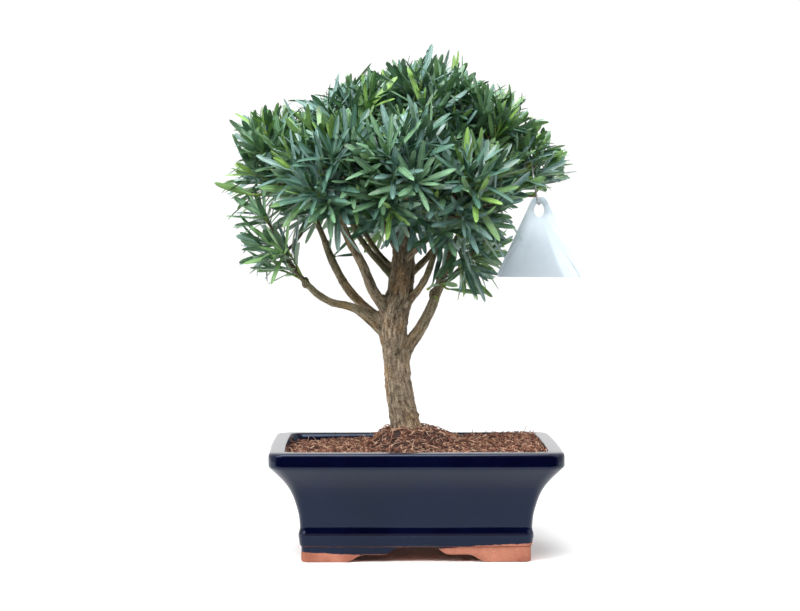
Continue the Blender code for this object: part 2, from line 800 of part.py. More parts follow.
def make_label():
    """The blank label, with its origin on the wire that it swings on."""
    half = LABEL_THICKNESS / 2
    rings = [[Vector((p.x, y, p.y)) for p in label_outline()] for y in (-half, half)]
    label = mesh_object("label", loft(rings), "label")
    bm = bmesh.new()
    bmesh.ops.create_circle(bm, cap_ends=True, segments=14, radius=1)
    drawn = bmesh.ops.extrude_face_region(bm, geom=bm.faces[:])
    top = [v for v in drawn["geom"] if isinstance(v, bmesh.types.BMVert)]
    bmesh.ops.translate(bm, vec=(0, 0, 1), verts=top)
    size = Matrix.Diagonal((HOLE_HALF_WIDTH, HOLE_HALF_HEIGHT, 4 * LABEL_THICKNESS, 1))
    tilt = Matrix.Rotation(math.pi / 2, 4, "X")
    centre = HOLE_HALF_HEIGHT - WIRE_RADIUS - GAP
    bm.transform(Matrix.Translation((0, 2 * LABEL_THICKNESS, -centre)) @ tilt @ size)
    cutter = helper(mesh_object("label_hole", bm))
    boolean(label, "DIFFERENCE", cutter)
    for obj in (label, cutter):
        obj.location = LABEL_HINGE
        obj.rotation_euler = (0, 0, LABEL_YAW)
    return label


def hook_twig():
    """The twig that the wire hangs from, as (root, end)."""
    carrier = next(mass for mass in MASSES if mass.name == HOOK_MASS)
    return Vector(carrier.heart) * MM, HOOK_TWIG_END


def wire_line():
    """The wire's centre line: through the label's hole, up, and over its twig in a hook."""
    across, front, up = label_axes()
    near = (
        (0, -4.6, 3.4), (0, -3.8, 0.9), (0, -1.6, 0), (0, 1.6, 0), (-0.7, 3.2, 1.4),
        (-1.5, 3.6, 5.5),
    )
    points = [LABEL_HINGE + (across * a + front * f + up * u) * MM for a, f, u in near]
    root, end = hook_twig()
    heading = (end - root).normalized()
    side = heading.cross(up).normalized()
    crest = end - heading * HOOK_INSET + up * (TWIG_RADIUS + GAP + WIRE_RADIUS)
    over = ((-3.4, -4.4), (-2.5, -1.2), (0, 0), (2.5, -1.2), (3.2, -5.5))
    points += [crest + (side * a + up * u) * MM for a, u in over]
    return smooth_path(points, 2)


def make_wire():
    """The bent wire that carries the label."""
    path = wire_line()
    rings = tube_rings(path, [WIRE_RADIUS] * len(path), 5)
    return mesh_object("label_wire", loft(rings), "wire")


def stand_on_origin(pieces):
    """Moves everything so that the origin is the middle of the plant's footprint, at its feet."""
    graph = bpy.context.evaluated_depsgraph_get()
    corners = []
    for piece in pieces:
        evaluated = piece.evaluated_get(graph)
        corners += [evaluated.matrix_world @ Vector(c) for c in evaluated.bound_box]
    low = Vector([min(c[k] for c in corners) for k in range(3)])
    high = Vector([max(c[k] for c in corners) for k in range(3)])
    middle = Vector(((low.x + high.x) / 2, (low.y + high.y) / 2, 0))
    for obj in bpy.data.objects:
        obj.location -= middle


def main():
    """Builds the whole plant."""
    clear_scene()
    pieces = [make_pot(), *make_feet(), make_mulch(), make_trunk()]
    clearance = Clearance()
    lines = {"trunk": trunk_line()}
    cutters = {"trunk": trunk_cutter()}
    for limb in LIMBS:
        lines[limb.name] = limb_line(limb)
        pieces.append(make_limb(limb, cutters))
    for path, radii in lines.values():
        clearance.add(path, radii)
    wire = wire_line()
    clearance.add(wire, [2 * WIRE_RADIUS] * len(wire))
    stems, own = {}, {}
    for mass in MASSES:
        first = len(clearance.radii)
        stems[mass.name] = stem_line(mass, *lines[mass.limb])
        clearance.add(*stems[mass.name][:2])
        own[mass.name] = (first, len(clearance.radii))
    for mass in MASSES:
        pieces.append(make_mass(mass, stems[mass.name], clearance, own[mass.name]))
    pieces += [make_label(), make_wire()]
    stand_on_origin(pieces)


main()
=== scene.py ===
"""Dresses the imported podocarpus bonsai: its pot, mulch, bark, twigs, leaves, label and studio.

Every piece is worked out in metres from the middle of the pot, at the level of its feet, and its
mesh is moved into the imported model's frame when it is finished.
"""

import logging
import math
import random
from collections.abc import Callable, Iterable, Sequence
from dataclasses import dataclass, field
from enum import Enum

import bmesh
import bpy
import numpy as np
from mathutils import Matrix, Quaternion, Vector, noise


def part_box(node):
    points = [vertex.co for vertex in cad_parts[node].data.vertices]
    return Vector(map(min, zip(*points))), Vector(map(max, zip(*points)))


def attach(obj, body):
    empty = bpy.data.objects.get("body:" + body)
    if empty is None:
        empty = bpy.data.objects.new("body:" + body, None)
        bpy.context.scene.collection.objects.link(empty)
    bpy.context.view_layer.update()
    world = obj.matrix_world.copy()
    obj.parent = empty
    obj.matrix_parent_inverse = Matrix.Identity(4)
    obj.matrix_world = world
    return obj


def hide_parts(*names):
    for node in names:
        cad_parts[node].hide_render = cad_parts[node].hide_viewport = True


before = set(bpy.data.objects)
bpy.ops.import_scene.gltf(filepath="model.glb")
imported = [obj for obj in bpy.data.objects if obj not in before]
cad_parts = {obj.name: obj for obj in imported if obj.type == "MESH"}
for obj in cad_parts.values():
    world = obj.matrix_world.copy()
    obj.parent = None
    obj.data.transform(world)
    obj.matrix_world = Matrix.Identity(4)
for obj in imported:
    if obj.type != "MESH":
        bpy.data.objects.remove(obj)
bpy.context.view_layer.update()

Colour = tuple[float, float, float]
Ring = list[Vector]

MM = 0.001
GAP = 0.3 * MM
GOLDEN_ANGLE = math.pi * (3 - math.sqrt(5))
UP = Vector((0, 0, 1))
GROUND = 108 * MM
SEED = 16

log = logging.getLogger("bonsai")


class Body(Enum):
    """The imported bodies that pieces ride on."""

    PLANT = "plant"
    LABEL = "label"


class Slot(Enum):
    """The record's material slots."""

    GLAZE = "glaze"
    CLAY = "terracotta"
    MULCH = "mulch"
    BARK = "bark"
    FOLIAGE = "foliage"
    LABEL = "label"
    WIRE = "wire"


class Tone(Enum):
    """The colours that leaves are dealt out in, as places in the foliage's list of finishes."""

    DEEP = 0
    BLUE = 1
    MID = 2
    FRESH = 3
    LIME = 4


def pot_middle() -> Vector:
    """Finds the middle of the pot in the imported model's frame, at the level of its feet."""
    low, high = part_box("pot")
    return Vector(((low.x + high.x) / 2, (low.y + high.y) / 2, 0))


def screen(red: float, green: float, blue: float) -> Colour:
    """Turns a colour as a screen shows it into light.

    Args:
        red: The red, from 0 to 255.
        green: The green, from 0 to 255.
        blue: The blue, from 0 to 255.

    Returns:
        The three linear shares of light.
    """
    shares = (value / 255 for value in (red, green, blue))
    return tuple(s / 12.92 if s <= 0.04045 else ((s + 0.055) / 1.055) ** 2.4 for s in shares)


class NodeSheet:
    """The node sheet of one material, with short calls for what the finishes share."""

    def __init__(self, name: str) -> None:
        """Makes a material that holds its shader alone."""
        self.material = bpy.data.materials.new(name)
        self.material.use_nodes = True
        self.nodes = self.material.node_tree.nodes
        self.links = self.material.node_tree.links
        self.shader = self.nodes["Principled BSDF"]

    def set(self, **values: float) -> None:
        """Sets constant values on the shader's sockets, with _ for a space in a name."""
        for name, value in values.items():
            self.shader.inputs[name.replace("_", " ")].default_value = value

    def plug(self, value: bpy.types.NodeSocket | Colour | float, socket: bpy.types.NodeSocket) -> None:
        """Links a socket to what drives it, or sets its constant value."""
        if isinstance(value, bpy.types.NodeSocket):
            self.links.new(value, socket)
        else:
            socket.default_value = (*value, 1) if isinstance(value, tuple) else value

    def feed(self, socket: str, source: bpy.types.NodeSocket) -> None:
        """Links a socket of the shader to what drives it."""
        self.links.new(source, self.shader.inputs[socket])

    def mottle(self, pattern: bpy.types.NodeSocket, dark: Colour, light: Colour, edge: float = 0.2) -> None:
        """Colours the surface by a pattern.

        Args:
            pattern: The pattern.
            dark: The colour where it is low.
            light: The colour where it is high.
            edge: How far from a half the pattern is at the pure colours.
        """
        self.feed("Base Color", self.ramp(pattern, ((0.5 - edge, dark), (0.5 + edge, light))))

    def between(self, pattern: bpy.types.NodeSocket, low: float, high: float) -> bpy.types.NodeSocket:
        """Turns a pattern that runs from 0 to 1 into a number between two others."""
        return self.calculate("MULTIPLY_ADD", pattern, high - low, low)

    def split(self, vector: bpy.types.NodeSocket) -> bpy.types.NodeOutputs:
        """Splits a place or direction into its X, Y and Z."""
        made = self.nodes.new("ShaderNodeSeparateXYZ")
        self.links.new(vector, made.inputs[0])
        return made.outputs

    def place(self, stretch: Sequence[float] = (1, 1, 1), attribute: str = "") -> bpy.types.NodeSocket:
        """Gives the place on the piece that a pattern reads.

        Args:
            stretch: How much each axis is scaled.
            attribute: The mesh's own attribute to read, or nothing for Object coordinates.

        Returns:
            The scaled place.
        """
        if attribute:
            source = self.nodes.new("ShaderNodeAttribute")
            source.attribute_name = attribute
            found = source.outputs["Vector"]
        else:
            found = self.nodes.new("ShaderNodeTexCoord").outputs["Object"]
        mapping = self.nodes.new("ShaderNodeMapping")
        mapping.inputs["Scale"].default_value = tuple(stretch)
        self.links.new(found, mapping.inputs["Vector"])
        return mapping.outputs["Vector"]

    def amount(self, attribute: str) -> bpy.types.NodeSocket:
        """Reads a number that the mesh carries."""
        source = self.nodes.new("ShaderNodeAttribute")
        source.attribute_name = attribute
        return source.outputs["Fac"]

    def noise(
        self, where: bpy.types.NodeSocket, scale: float, detail: float = 3, rough: float = 0.55
    ) -> bpy.types.NodeSocket:
        """Adds a noise pattern.

        Args:
            where: The place that it reads.
            scale: How many of its cells there are to a metre.
            detail: How many finer layers it has.
            rough: How strong those are.

        Returns:
            The pattern, around a half.
        """
        made = self.nodes.new("ShaderNodeTexNoise")
        made.inputs["Scale"].default_value = scale
        made.inputs["Detail"].default_value = detail
        made.inputs["Roughness"].default_value = rough
        self.links.new(where, made.inputs["Vector"])
        return made.outputs["Fac"]

    def ramp(
        self, factor: bpy.types.NodeSocket, stops: Sequence[tuple[float, Colour]]
    ) -> bpy.types.NodeSocket:
        """Turns a number into a colour.

        Args:
            factor: The number.
            stops: The colours and the numbers that they stand at, lowest first.

        Returns:
            The colour.
        """
        made = self.nodes.new("ShaderNodeValToRGB")
        elements = made.color_ramp.elements
        for element, (position, colour) in zip(list(elements), (stops[0], stops[-1])):
            element.position = position
            element.color = (*colour, 1)
        for position, colour in stops[1:-1]:
            elements.new(position).color = (*colour, 1)
        self.links.new(factor, made.inputs["Fac"])
        return made.outputs["Color"]

    def mix(
        self,
        factor: bpy.types.NodeSocket | float,
        first: bpy.types.NodeSocket | Colour,
        second: bpy.types.NodeSocket | Colour,
        blend: str = "MIX",
    ) -> bpy.types.NodeSocket:
        """Mixes two colours.

        Args:
            factor: How much of the second shows.
            first: The first colour.
            second: The second colour.
            blend: How they are mixed.

        Returns:
            The mixed colour.
        """
        made = self.nodes.new("ShaderNodeMix")
        made.data_type = "RGBA"
        made.blend_type = blend
        for place, value in ((0, factor), (6, first), (7, second)):
            self.plug(value, made.inputs[place])
        return made.outputs[2]

    def calculate(
        self, operation: str, *values: bpy.types.NodeSocket | float, clamp: bool = False
    ) -> bpy.types.NodeSocket:
        """Adds a sum.

        Args:
            operation: What is done with the values.
            values: Numbers, or what gives them.
            clamp: Whether the result is kept between 0 and 1.

        Returns:
            The result.
        """
        made = self.nodes.new("ShaderNodeMath")
        made.operation = operation
        made.use_clamp = clamp
        for socket, value in zip(made.inputs, values):
            self.plug(value, socket)
        return made.outputs[0]

    def relief(self, height: bpy.types.NodeSocket, depth: float, strength: float = 1) -> None:
        """Gives the surface a fine relief of that depth in metres."""
        made = self.nodes.new("ShaderNodeBump")
        made.inputs["Strength"].default_value = strength
        made.inputs["Distance"].default_value = depth
        self.links.new(height, made.inputs["Height"])
        self.feed("Normal", made.outputs["Normal"])


@dataclass(frozen=True)
class Finish:
    """A finish by name, with what all of them share."""

    name: str

    def material(self) -> bpy.types.Material:
        """Gives the finish's material, made at its first use."""
        return bpy.data.materials.get(self.name) or self.make()

    def make(self) -> bpy.types.Material:
        """Makes the material and paints it."""
        sheet = NodeSheet(self.name)
        self.paint(sheet)
        return sheet.material

    def paint(self, sheet: NodeSheet) -> None:
        """Fills the node sheet; each kind of finish has its own."""
        raise NotImplementedError


@dataclass(frozen=True)
class GlazedClay(Finish):
    """A near-black navy gloss glaze that ends in a wandering line above bare clay.

    The line's points, its top and the lengths below it are millimetres, from the pot's middle.
    """

    body: Colour = (0.0014, 0.0022, 0.0150)
    pooled: Colour = (0.0006, 0.0009, 0.0080)
    thin: Colour = screen(96, 92, 100)
    clay: Colour = screen(166, 104, 82)
    clay_light: Colour = screen(198, 138, 114)
    stain: Colour = screen(205, 190, 180)
    mirror: Colour = (0.35, 0.46, 0.65)
    line: tuple[tuple[float, float], ...] = (
        (-100, 9.0), (-62, 7.0), (-30, 5.4), (-8, 7.4), (22, 12.0), (60, 14.8), (100, 16.4),
    )
    line_top: float = 20.0
    line_wander: float = 3.0
    line_edge: float = 0.35
    underside: float = -0.9
    thinning: float = 0.22
    clay_matt: float = 0.72

    def coverage(self, sheet: NodeSheet) -> bpy.types.NodeSocket:
        """Works out where the glaze lies.

        Args:
            sheet: The node sheet.

        Returns:
            1 on the glaze and 0 on bare clay, below the line and underneath.
        """
        where = sheet.place()
        place = sheet.split(where)
        low_x, high_x = self.line[0][0], self.line[-1][0]
        along = sheet.calculate("SUBTRACT", place["X"], pot_middle().x + low_x * MM)
        along = sheet.calculate("DIVIDE", along, (high_x - low_x) * MM, clamp=True)
        stops = [((x - low_x) / (high_x - low_x), (z / self.line_top,) * 3) for x, z in self.line]
        line = sheet.calculate("MULTIPLY", sheet.ramp(along, stops), self.line_top * MM)
        wander = sheet.calculate("SUBTRACT", sheet.noise(where, 130, 4), 0.5)
        line = sheet.calculate("ADD", line, sheet.calculate("MULTIPLY", wander, self.line_wander * MM))
        over = sheet.calculate("SUBTRACT", place["Z"], line)
        above = sheet.calculate("DIVIDE", over, self.line_edge * MM, clamp=True)
        facing = sheet.split(sheet.nodes.new("ShaderNodeNewGeometry").outputs["Normal"])
        return sheet.calculate(
            "MULTIPLY", above, sheet.calculate("GREATER_THAN", facing["Z"], self.underside)
        )

    def paint(self, sheet: NodeSheet) -> None:
        """Paints the glaze over the clay, above the line."""
        where = sheet.place()
        covered = self.coverage(sheet)
        bare = sheet.calculate("SUBTRACT", 1.0, covered)
        cloud = sheet.noise(sheet.place((1, 1, 0.5)), 22, 4)
        glaze = sheet.ramp(cloud, ((0.35, self.pooled), (0.65, self.body)))
        thin = sheet.calculate("MULTIPLY", sheet.amount("thin"), self.thinning)
        glaze = sheet.mix(thin, glaze, self.thin)
        grit = sheet.noise(where, 900, 5, 0.7)
        clay = sheet.ramp(grit, ((0.3, self.clay), (0.75, self.clay_light)))
        stain = sheet.ramp(sheet.noise(where, 45, 3), ((0.35, self.stain), (0.7, (1, 1, 1))))
        clay = sheet.mix(1.0, clay, stain, "MULTIPLY")
        sheet.feed("Base Color", sheet.mix(covered, clay, glaze))
        gloss = sheet.between(sheet.noise(where, 60, 3), 0.06, 0.11)
        sheet.feed("Roughness", sheet.calculate("MULTIPLY_ADD", bare, self.clay_matt, gloss))
        peel = sheet.calculate("MULTIPLY", sheet.noise(where, 70, 2), 0.25)
        height = sheet.calculate("MULTIPLY_ADD", covered, 0.5, peel)
        height = sheet.calculate("MULTIPLY_ADD", grit, bare, height)
        sheet.relief(height, 0.5 * MM, 0.7)
        sheet.shader.inputs["Specular Tint"].default_value = (*self.mirror, 1)
        sheet.set(IOR=1.47)


@dataclass(frozen=True)
class BarkSkin(Finish):
    """Grey-brown bark with upright fissures, greener where the wood is young, and darkened towards the
    fissure colour by painted shade in the crown and by a darkening near the ground.
    """

    fissure_and_shade: Colour = screen(54, 44, 35)
    body: Colour = screen(132, 114, 92)
    ridge: Colour = screen(220, 200, 172)
    weathered: Colour = screen(196, 200, 196)
    rusty: Colour = screen(255, 226, 186)
    young: Colour = screen(112, 124, 74)
    greenness: float = 0.65
    # How far the shade mark darkens the bark towards the fissure colour: painted shade, and the darkening
    # near the ground.
    shading: float = 0.62

    def paint(self, sheet: NodeSheet) -> None:
        """Paints ridges and fissures that follow each limb, and darkens them by the mesh's shade mark:
        painted shade in the crown and a darkening near the ground.
        """
        coarse = sheet.noise(sheet.place((1, 1, 0.24), "grain"), 430, 6, 0.7)
        fine = sheet.noise(sheet.place((1, 1, 0.6), "grain"), 1700, 5, 0.78)
        streak = sheet.calculate("MULTIPLY_ADD", fine, 0.62, sheet.calculate("MULTIPLY", coarse, 0.42))
        colour = sheet.ramp(streak, ((0.42, self.fissure_and_shade), (0.50, self.body), (0.61, self.ridge)))
        patch = sheet.noise(sheet.place((1, 1, 0.6), "grain"), 62, 4, 0.65)
        tint = sheet.ramp(patch, ((0.32, self.weathered), (0.5, (1, 1, 1)), (0.68, self.rusty)))
        colour = sheet.mix(1.0, colour, tint, "MULTIPLY")
        # Greener where the wood is young, and darker towards the fissure colour by the shade mark: painted
        # shade in the crown, and a darkening near the ground.
        for amount, strength, other in (
            ("young", self.greenness, self.young), ("shade", self.shading, self.fissure_and_shade),
        ):
            colour = sheet.mix(sheet.amount(amount), colour, sheet.mix(strength, colour, other))
        sheet.feed("Base Color", colour)
        sheet.relief(streak, 2.2 * MM, 1.0)
        sheet.set(Roughness=0.86)


@dataclass(frozen=True)
class LeafSkin(Finish):
    """One plain colour of leaf, leathery with a soft sheen."""

    colour: Colour
    roughness: float = 0.31
    coat: float = 0.4

    def paint(self, sheet: NodeSheet) -> None:
        """Paints the leaf a little unevenly, with a fine relief."""
        where = sheet.place()
        pale = tuple(min(c * 1.28 + 0.004, 1) for c in self.colour)
        deep = tuple(c * 0.76 for c in self.colour)
        sheet.mottle(sheet.noise(where, 110, 3), deep, pale)
        sheet.relief(sheet.noise(where, 1300, 2), 0.12 * MM, 0.5)
        sheet.set(Roughness=self.roughness, Coat_Weight=self.coat, Coat_Roughness=0.32, IOR=1.45)


@dataclass(frozen=True)
class TwigSkin(Finish):
    """The skin of a twig, mottled between two colours."""

    dark: Colour
    light: Colour
    roughness: float = 0.7

    def paint(self, sheet: NodeSheet) -> None:
        """Paints the mottling."""
        grain = sheet.noise(sheet.place(), 700, 4, 0.65)
        sheet.mottle(grain, self.dark, self.light, 0.18)
        sheet.relief(grain, 0.3 * MM, 0.6)
        sheet.set(Roughness=self.roughness)


@dataclass(frozen=True)
class Fibre(Finish):
    """Dry husk fibre, matt and a little uneven."""

    colour: Colour

    def paint(self, sheet: NodeSheet) -> None:
        """Paints the fibre's unevenness."""
        deep = tuple(c * 0.62 for c in self.colour)
        pale = tuple(min(c * 1.25, 1) for c in self.colour)
        grain = sheet.noise(sheet.place(), 520, 4, 0.7)
        sheet.mottle(grain, deep, pale)
        sheet.relief(grain, 0.4 * MM, 0.6)
        sheet.set(Roughness=0.92)


@dataclass(frozen=True)
class PlateMetal(Finish):
    """A pale silver plate with a fine satin grain and faint handling marks."""

    colour: Colour = screen(226, 239, 249)
    handled: Colour = screen(214, 230, 244)

    def paint(self, sheet: NodeSheet) -> None:
        """Paints the grain across the plate."""
        grain = sheet.noise(sheet.place((0.08, 0.08, 1)), 2600, 3, 0.6)
        sheet.mottle(sheet.noise(sheet.place(), 34, 3), self.handled, self.colour)
        sheet.feed("Roughness", sheet.between(grain, 0.42, 0.58))
        sheet.relief(grain, 0.03 * MM, 0.35)
        sheet.set(Metallic=0.04)


@dataclass(frozen=True)
class WireMetal(Finish):
    """Dull grey wire, a little tarnished."""

    colour: Colour = screen(196, 198, 202)
    tarnished: Colour = screen(112, 110, 108)

    def paint(self, sheet: NodeSheet) -> None:
        """Paints the tarnish."""
        tarnish = sheet.noise(sheet.place(), 380, 4)
        sheet.mottle(tarnish, self.tarnished, self.colour, 0.15)
        sheet.feed("Roughness", sheet.between(tarnish, 0.25, 0.5))
        sheet.relief(tarnish, 0.05 * MM, 0.4)
        sheet.set(Metallic=0.35)


@dataclass(frozen=True)
class FloorPaint(Finish):
    """The studio's plain pale floor."""

    colour: Colour = (0.97, 0.97, 0.97)

    def paint(self, sheet: NodeSheet) -> None:
        """Paints it one colour."""
        sheet.shader.inputs["Base Color"].default_value = (*self.colour, 1)
        sheet.set(Roughness=0.75, Specular_IOR_Level=0.2)


def add_object(name: str, data: bpy.types.ID) -> bpy.types.Object:
    """Adds an object that holds a mesh, a light or a camera to the scene."""
    made = bpy.data.objects.new(name, data)
    bpy.context.scene.collection.objects.link(made)
    return made


def applied(worked: bpy.types.Object, *tools: bpy.types.Object) -> bpy.types.Mesh:
    """Takes an object's mesh with its modifiers applied.

    Args:
        worked: The object, which is removed.
        tools: The objects that its modifiers use, which are removed too.

    Returns:
        The mesh.
    """
    graph = bpy.context.evaluated_depsgraph_get()
    mesh = bpy.data.meshes.new_from_object(worked.evaluated_get(graph))
    for spent in (worked, *tools):
        bpy.data.objects.remove(spent)
    return mesh


@dataclass(frozen=True)
class Piece:
    """What a finished mesh is called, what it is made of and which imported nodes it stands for."""

    name: str
    slot: Slot
    finishes: tuple[Finish, ...]
    nodes: tuple[str, ...] = ()
    body: Body = Body.PLANT
    crease: float = 35.0

    def stand(self, mesh: bpy.types.Mesh) -> None:
        """Puts a mesh, worked out from the pot's middle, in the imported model's frame as this piece."""
        mesh.name = self.name
        mesh.transform(Matrix.Translation(pot_middle()))
        for finish in self.finishes:
            mesh.materials.append(finish.material())
        mesh.shade_smooth()
        mesh.set_sharp_from_angle(angle=math.radians(self.crease))
        made = add_object(self.name, mesh)
        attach(made, self.body.value)
        if self.nodes:
            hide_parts(*self.nodes)
        log.info("%s: %d faces", self.name, len(mesh.polygons))


def to_mesh(bm: bmesh.types.BMesh, name: str) -> bpy.types.Mesh:
    """Turns a bmesh into a mesh with its faces turned outwards.

    Args:
        bm: The bmesh, which is freed.
        name: The mesh's name.

    Returns:
        The mesh.
    """
    bmesh.ops.recalc_face_normals(bm, faces=bm.faces)
    mesh = bpy.data.meshes.new(name)
    bm.to_mesh(mesh)
    bm.free()
    return mesh


def ring_edges(bm: bmesh.types.BMesh, loop: Sequence[bmesh.types.BMVert]) -> list[bmesh.types.BMEdge]:
    """Lists the edges that join a ring of vertices."""
    return [bm.edges.get((loop[i - 1], loop[i])) for i in range(len(loop))]


def draw_skin(rings: Sequence[Ring], round_trip: bool = False) -> bmesh.types.BMesh:
    """Extrudes a ring of edges from place to place.

    Args:
        rings: Where the ring stands, one list of points after the other, all equally long.
        round_trip: Whether the last ring is joined to the first, rather than both being closed.

    Returns:
        The closed skin.
    """
    bm = bmesh.new()
    loop = bmesh.ops.create_circle(bm, segments=len(rings[0]), radius=1)["verts"]
    for vert, point in zip(loop, rings[0]):
        vert.co = point
    first = ring_edges(bm, loop)
    for ring in rings[1:]:
        drawn = bmesh.ops.extrude_edge_only(bm, edges=ring_edges(bm, loop))["geom"]
        fresh = {item for item in drawn if isinstance(item, bmesh.types.BMVert)}
        loop = [
            next(end for edge in vert.link_edges if (end := edge.other_vert(vert)) in fresh)
            for vert in loop
        ]
        for vert, point in zip(loop, ring):
            vert.co = point
    last = ring_edges(bm, loop)
    if round_trip:
        bmesh.ops.bridge_loops(bm, edges=first + last)
    else:
        for edges in (first, last):
            bmesh.ops.edgeloop_fill(bm, edges=edges)
    return bm


def smooth_path(points: Sequence[Vector], per_span: int) -> list[Vector]:
    """Runs a smooth curve through points.

    Args:
        points: The points that it passes.
        per_span: How many steps it takes between each two of them.

    Returns:
        The points along the curve.
    """
    path = []
    for i in range(len(points) - 1):
        before, after = points[max(i - 1, 0)], points[min(i + 2, len(points) - 1)]
        a, b = points[i], points[i + 1]
        for step in range(per_span):
            t = step / per_span
            curve = (2 * a) + (b - before) * t + (2 * before - 5 * a + 4 * b - after) * t * t
            path.append(0.5 * (curve + (3 * a - before - 3 * b + after) * t**3))
    path.append(points[-1].copy())
    return path


def bent(start: Vector, bend: Vector, end: Vector, share: float) -> Vector:
    """Gives the place at a share of a curve from one point to another that bends towards a third."""
    return start.lerp(bend, share).lerp(bend.lerp(end, share), share)


def tube_rings(path: Sequence[Vector], radii: Sequence[float], sides: int) -> list[Ring]:
    """Sets rings square to a path.

    Args:
        path: The centre line.
        radii: The radius at each of its points.
        sides: How many points a ring has.

    Returns:
        The rings.
    """
    rings = []
    facing, turn = UP.copy(), Quaternion()
    for i, (centre, radius) in enumerate(zip(path, radii)):
        ahead = (path[min(i + 1, len(path) - 1)] - path[max(i - 1, 0)]).normalized()
        turn = facing.rotation_difference(ahead) @ turn
        facing = ahead
        angles = [2 * math.pi * side / sides for side in range(sides)]
        rings.append([centre + turn @ Vector((math.cos(a), math.sin(a), 0)) * radius for a in angles])
    return rings


def many_tubes(
    name: str, points: np.ndarray, tones: Sequence[int], kinds: Sequence[int], clockwise: bool = False
) -> bpy.types.Mesh:
    """Builds many closed tubes as one mesh.

    Args:
        name: The mesh's name.
        points: Their points, by tube, by station along it and by side.
        tones: The place of each tube's first finish among the piece's finishes.
        kinds: What each side adds to that place. The ends take the last side's.
        clockwise: Whether a tube's sides run clockwise, seen from its root.

    Returns:
        The mesh.
    """
    count, stations, sides = points.shape[:3]
    ring = np.arange(sides)
    near, far = ring[::-1], ring
    first, second = ring, (ring + 1) % sides
    if clockwise:
        near, far, first, second = far, near, second, first
    band = np.stack([first, second, second + sides, first + sides], axis=1)
    quads = np.concatenate([band + station * sides for station in range(stations - 1)])
    ends = np.stack([near, far + (stations - 1) * sides])
    starts = np.arange(count)[:, None, None] * stations * sides
    faces = (quads + starts).reshape(-1, 4).tolist() + (ends + starts).reshape(-1, sides).tolist()
    mesh = bpy.data.meshes.new(name)
    mesh.from_pydata(points.reshape(-1, 3).tolist(), [], faces)
    base = np.array(tones)[:, None]
    along = base + np.tile(kinds, stations - 1)
    order = np.concatenate([along.ravel(), np.repeat(base + kinds[-1], len(ends))])
    mesh.polygons.foreach_set("material_index", order.astype(np.int32))
    return mesh


@dataclass
class TubeBatch:
    """Many small tubes that become one mesh: twigs, or the strands of the mulch."""

    sides: int
    paths: list[np.ndarray] = field(default_factory=list)
    radii: list[np.ndarray] = field(default_factory=list)
    tones: list[int] = field(default_factory=list)

    def add(self, path: Iterable[Sequence[float]], radii: Sequence[float], tone: int) -> None:
        """Adds one tube, with a tone that is its place in the piece's finishes."""
        self.paths.append(np.array([tuple(point) for point in path]))
        self.radii.append(np.array(radii))
        self.tones.append(tone)

    def mesh(self, name: str) -> bpy.types.Mesh:
        """Builds the tubes.

        Args:
            name: The mesh's name.

        Returns:
            One mesh of closed tubes.
        """
        paths, radii = np.stack(self.paths), np.stack(self.radii)
        ahead = np.gradient(paths, axis=1)
        ahead /= np.linalg.norm(ahead, axis=2, keepdims=True)
        least = np.abs(ahead[:, 0]).argmin(axis=1)
        side = np.cross(ahead, np.eye(3)[least][:, None, :])
        side /= np.linalg.norm(side, axis=2, keepdims=True)
        other = np.cross(ahead, side)
        angles = 2 * np.pi * np.arange(self.sides) / self.sides
        spokes = (
            side[:, :, None] * np.cos(angles)[:, None] + other[:, :, None] * np.sin(angles)[:, None]
        )
        points = paths[:, :, None] + spokes * radii[:, :, None, None]
        return many_tubes(name, points, self.tones, [0] * self.sides)


@dataclass
class LeafBatch:
    """Leaves that become one mesh. Each is a closed blade with a raised rib and folded halves."""

    stations: tuple[tuple[float, float], ...] = (
        (0.0, 0.16), (0.12, 0.44), (0.34, 0.84), (0.58, 1.0), (0.80, 0.92), (0.94, 0.60), (1.0, 0.16),
    )
    rib: float = 0.32 * MM
    keel: float = 0.42 * MM
    rows: list[tuple[float, ...]] = field(default_factory=list)
    tones: list[int] = field(default_factory=list)

    def add(
        self,
        root: Vector,
        way: Vector,
        face: Vector,
        size: tuple[float, float],
        shape: tuple[float, float],
        tone: Tone,
    ) -> None:
        """Adds one leaf.

        Args:
            root: Where it leaves its shoot.
            way: The direction that it sets out in.
            face: The direction that its upper side faces.
            size: Its length and width.
            shape: How far it bends back and how far its halves fold up, as shares.
            tone: Its colour.
        """
        self.rows.append((*root, *way, *face, *size, *shape))
        self.tones.append(tone.value)

    def points_along(self, rows: np.ndarray, share: float | np.ndarray) -> np.ndarray:
        """Gives the points of the leaves' midribs at a share of their length."""
        root, way, face = rows[:, 0:3], rows[:, 3:6], rows[:, 6:9]
        length, bend = rows[:, 9:10], rows[:, 11:12]
        return root + way * length * share - face * bend * length * share**2

    def thin_out(self, keep: np.ndarray) -> None:
        """Keeps only the leaves that keep marks."""
        self.rows = [row for row, kept in zip(self.rows, keep) if kept]
        self.tones = [tone for tone, kept in zip(self.tones, keep) if kept]

    def mesh(self, name: str) -> bpy.types.Mesh:
        """Builds the leaves.

        Args:
            name: The mesh's name.

        Returns:
            One mesh of closed leaves, each with its tone's upper, rib and under finishes.
        """
        rows = np.array(self.rows)
        face, width, fold = rows[:, 6:9], rows[:, 10:11] / 2, rows[:, 12:13]
        side = np.cross(rows[:, 3:6], face)
        side /= np.linalg.norm(side, axis=1, keepdims=True)
        rings = []
        for share, breadth in self.stations:
            middle = self.points_along(rows, share)
            half = width * breadth
            ridge = np.minimum(self.rib * (1 - 0.5 * share), 0.5 * half)
            lift = face * fold * half
            keel = face * self.keel * (1 - 0.6 * share)
            rings.append(np.stack([
                middle - side * half + lift, middle - side * ridge, middle + side * ridge,
                middle + side * half + lift, middle - keel,
            ], axis=1))
        upper, rib, under = range(3)
        tones = [3 * tone for tone in self.tones]
        kinds = (upper, rib, upper, under, under)
        return many_tubes(name, np.stack(rings, axis=1), tones, kinds, clockwise=True)


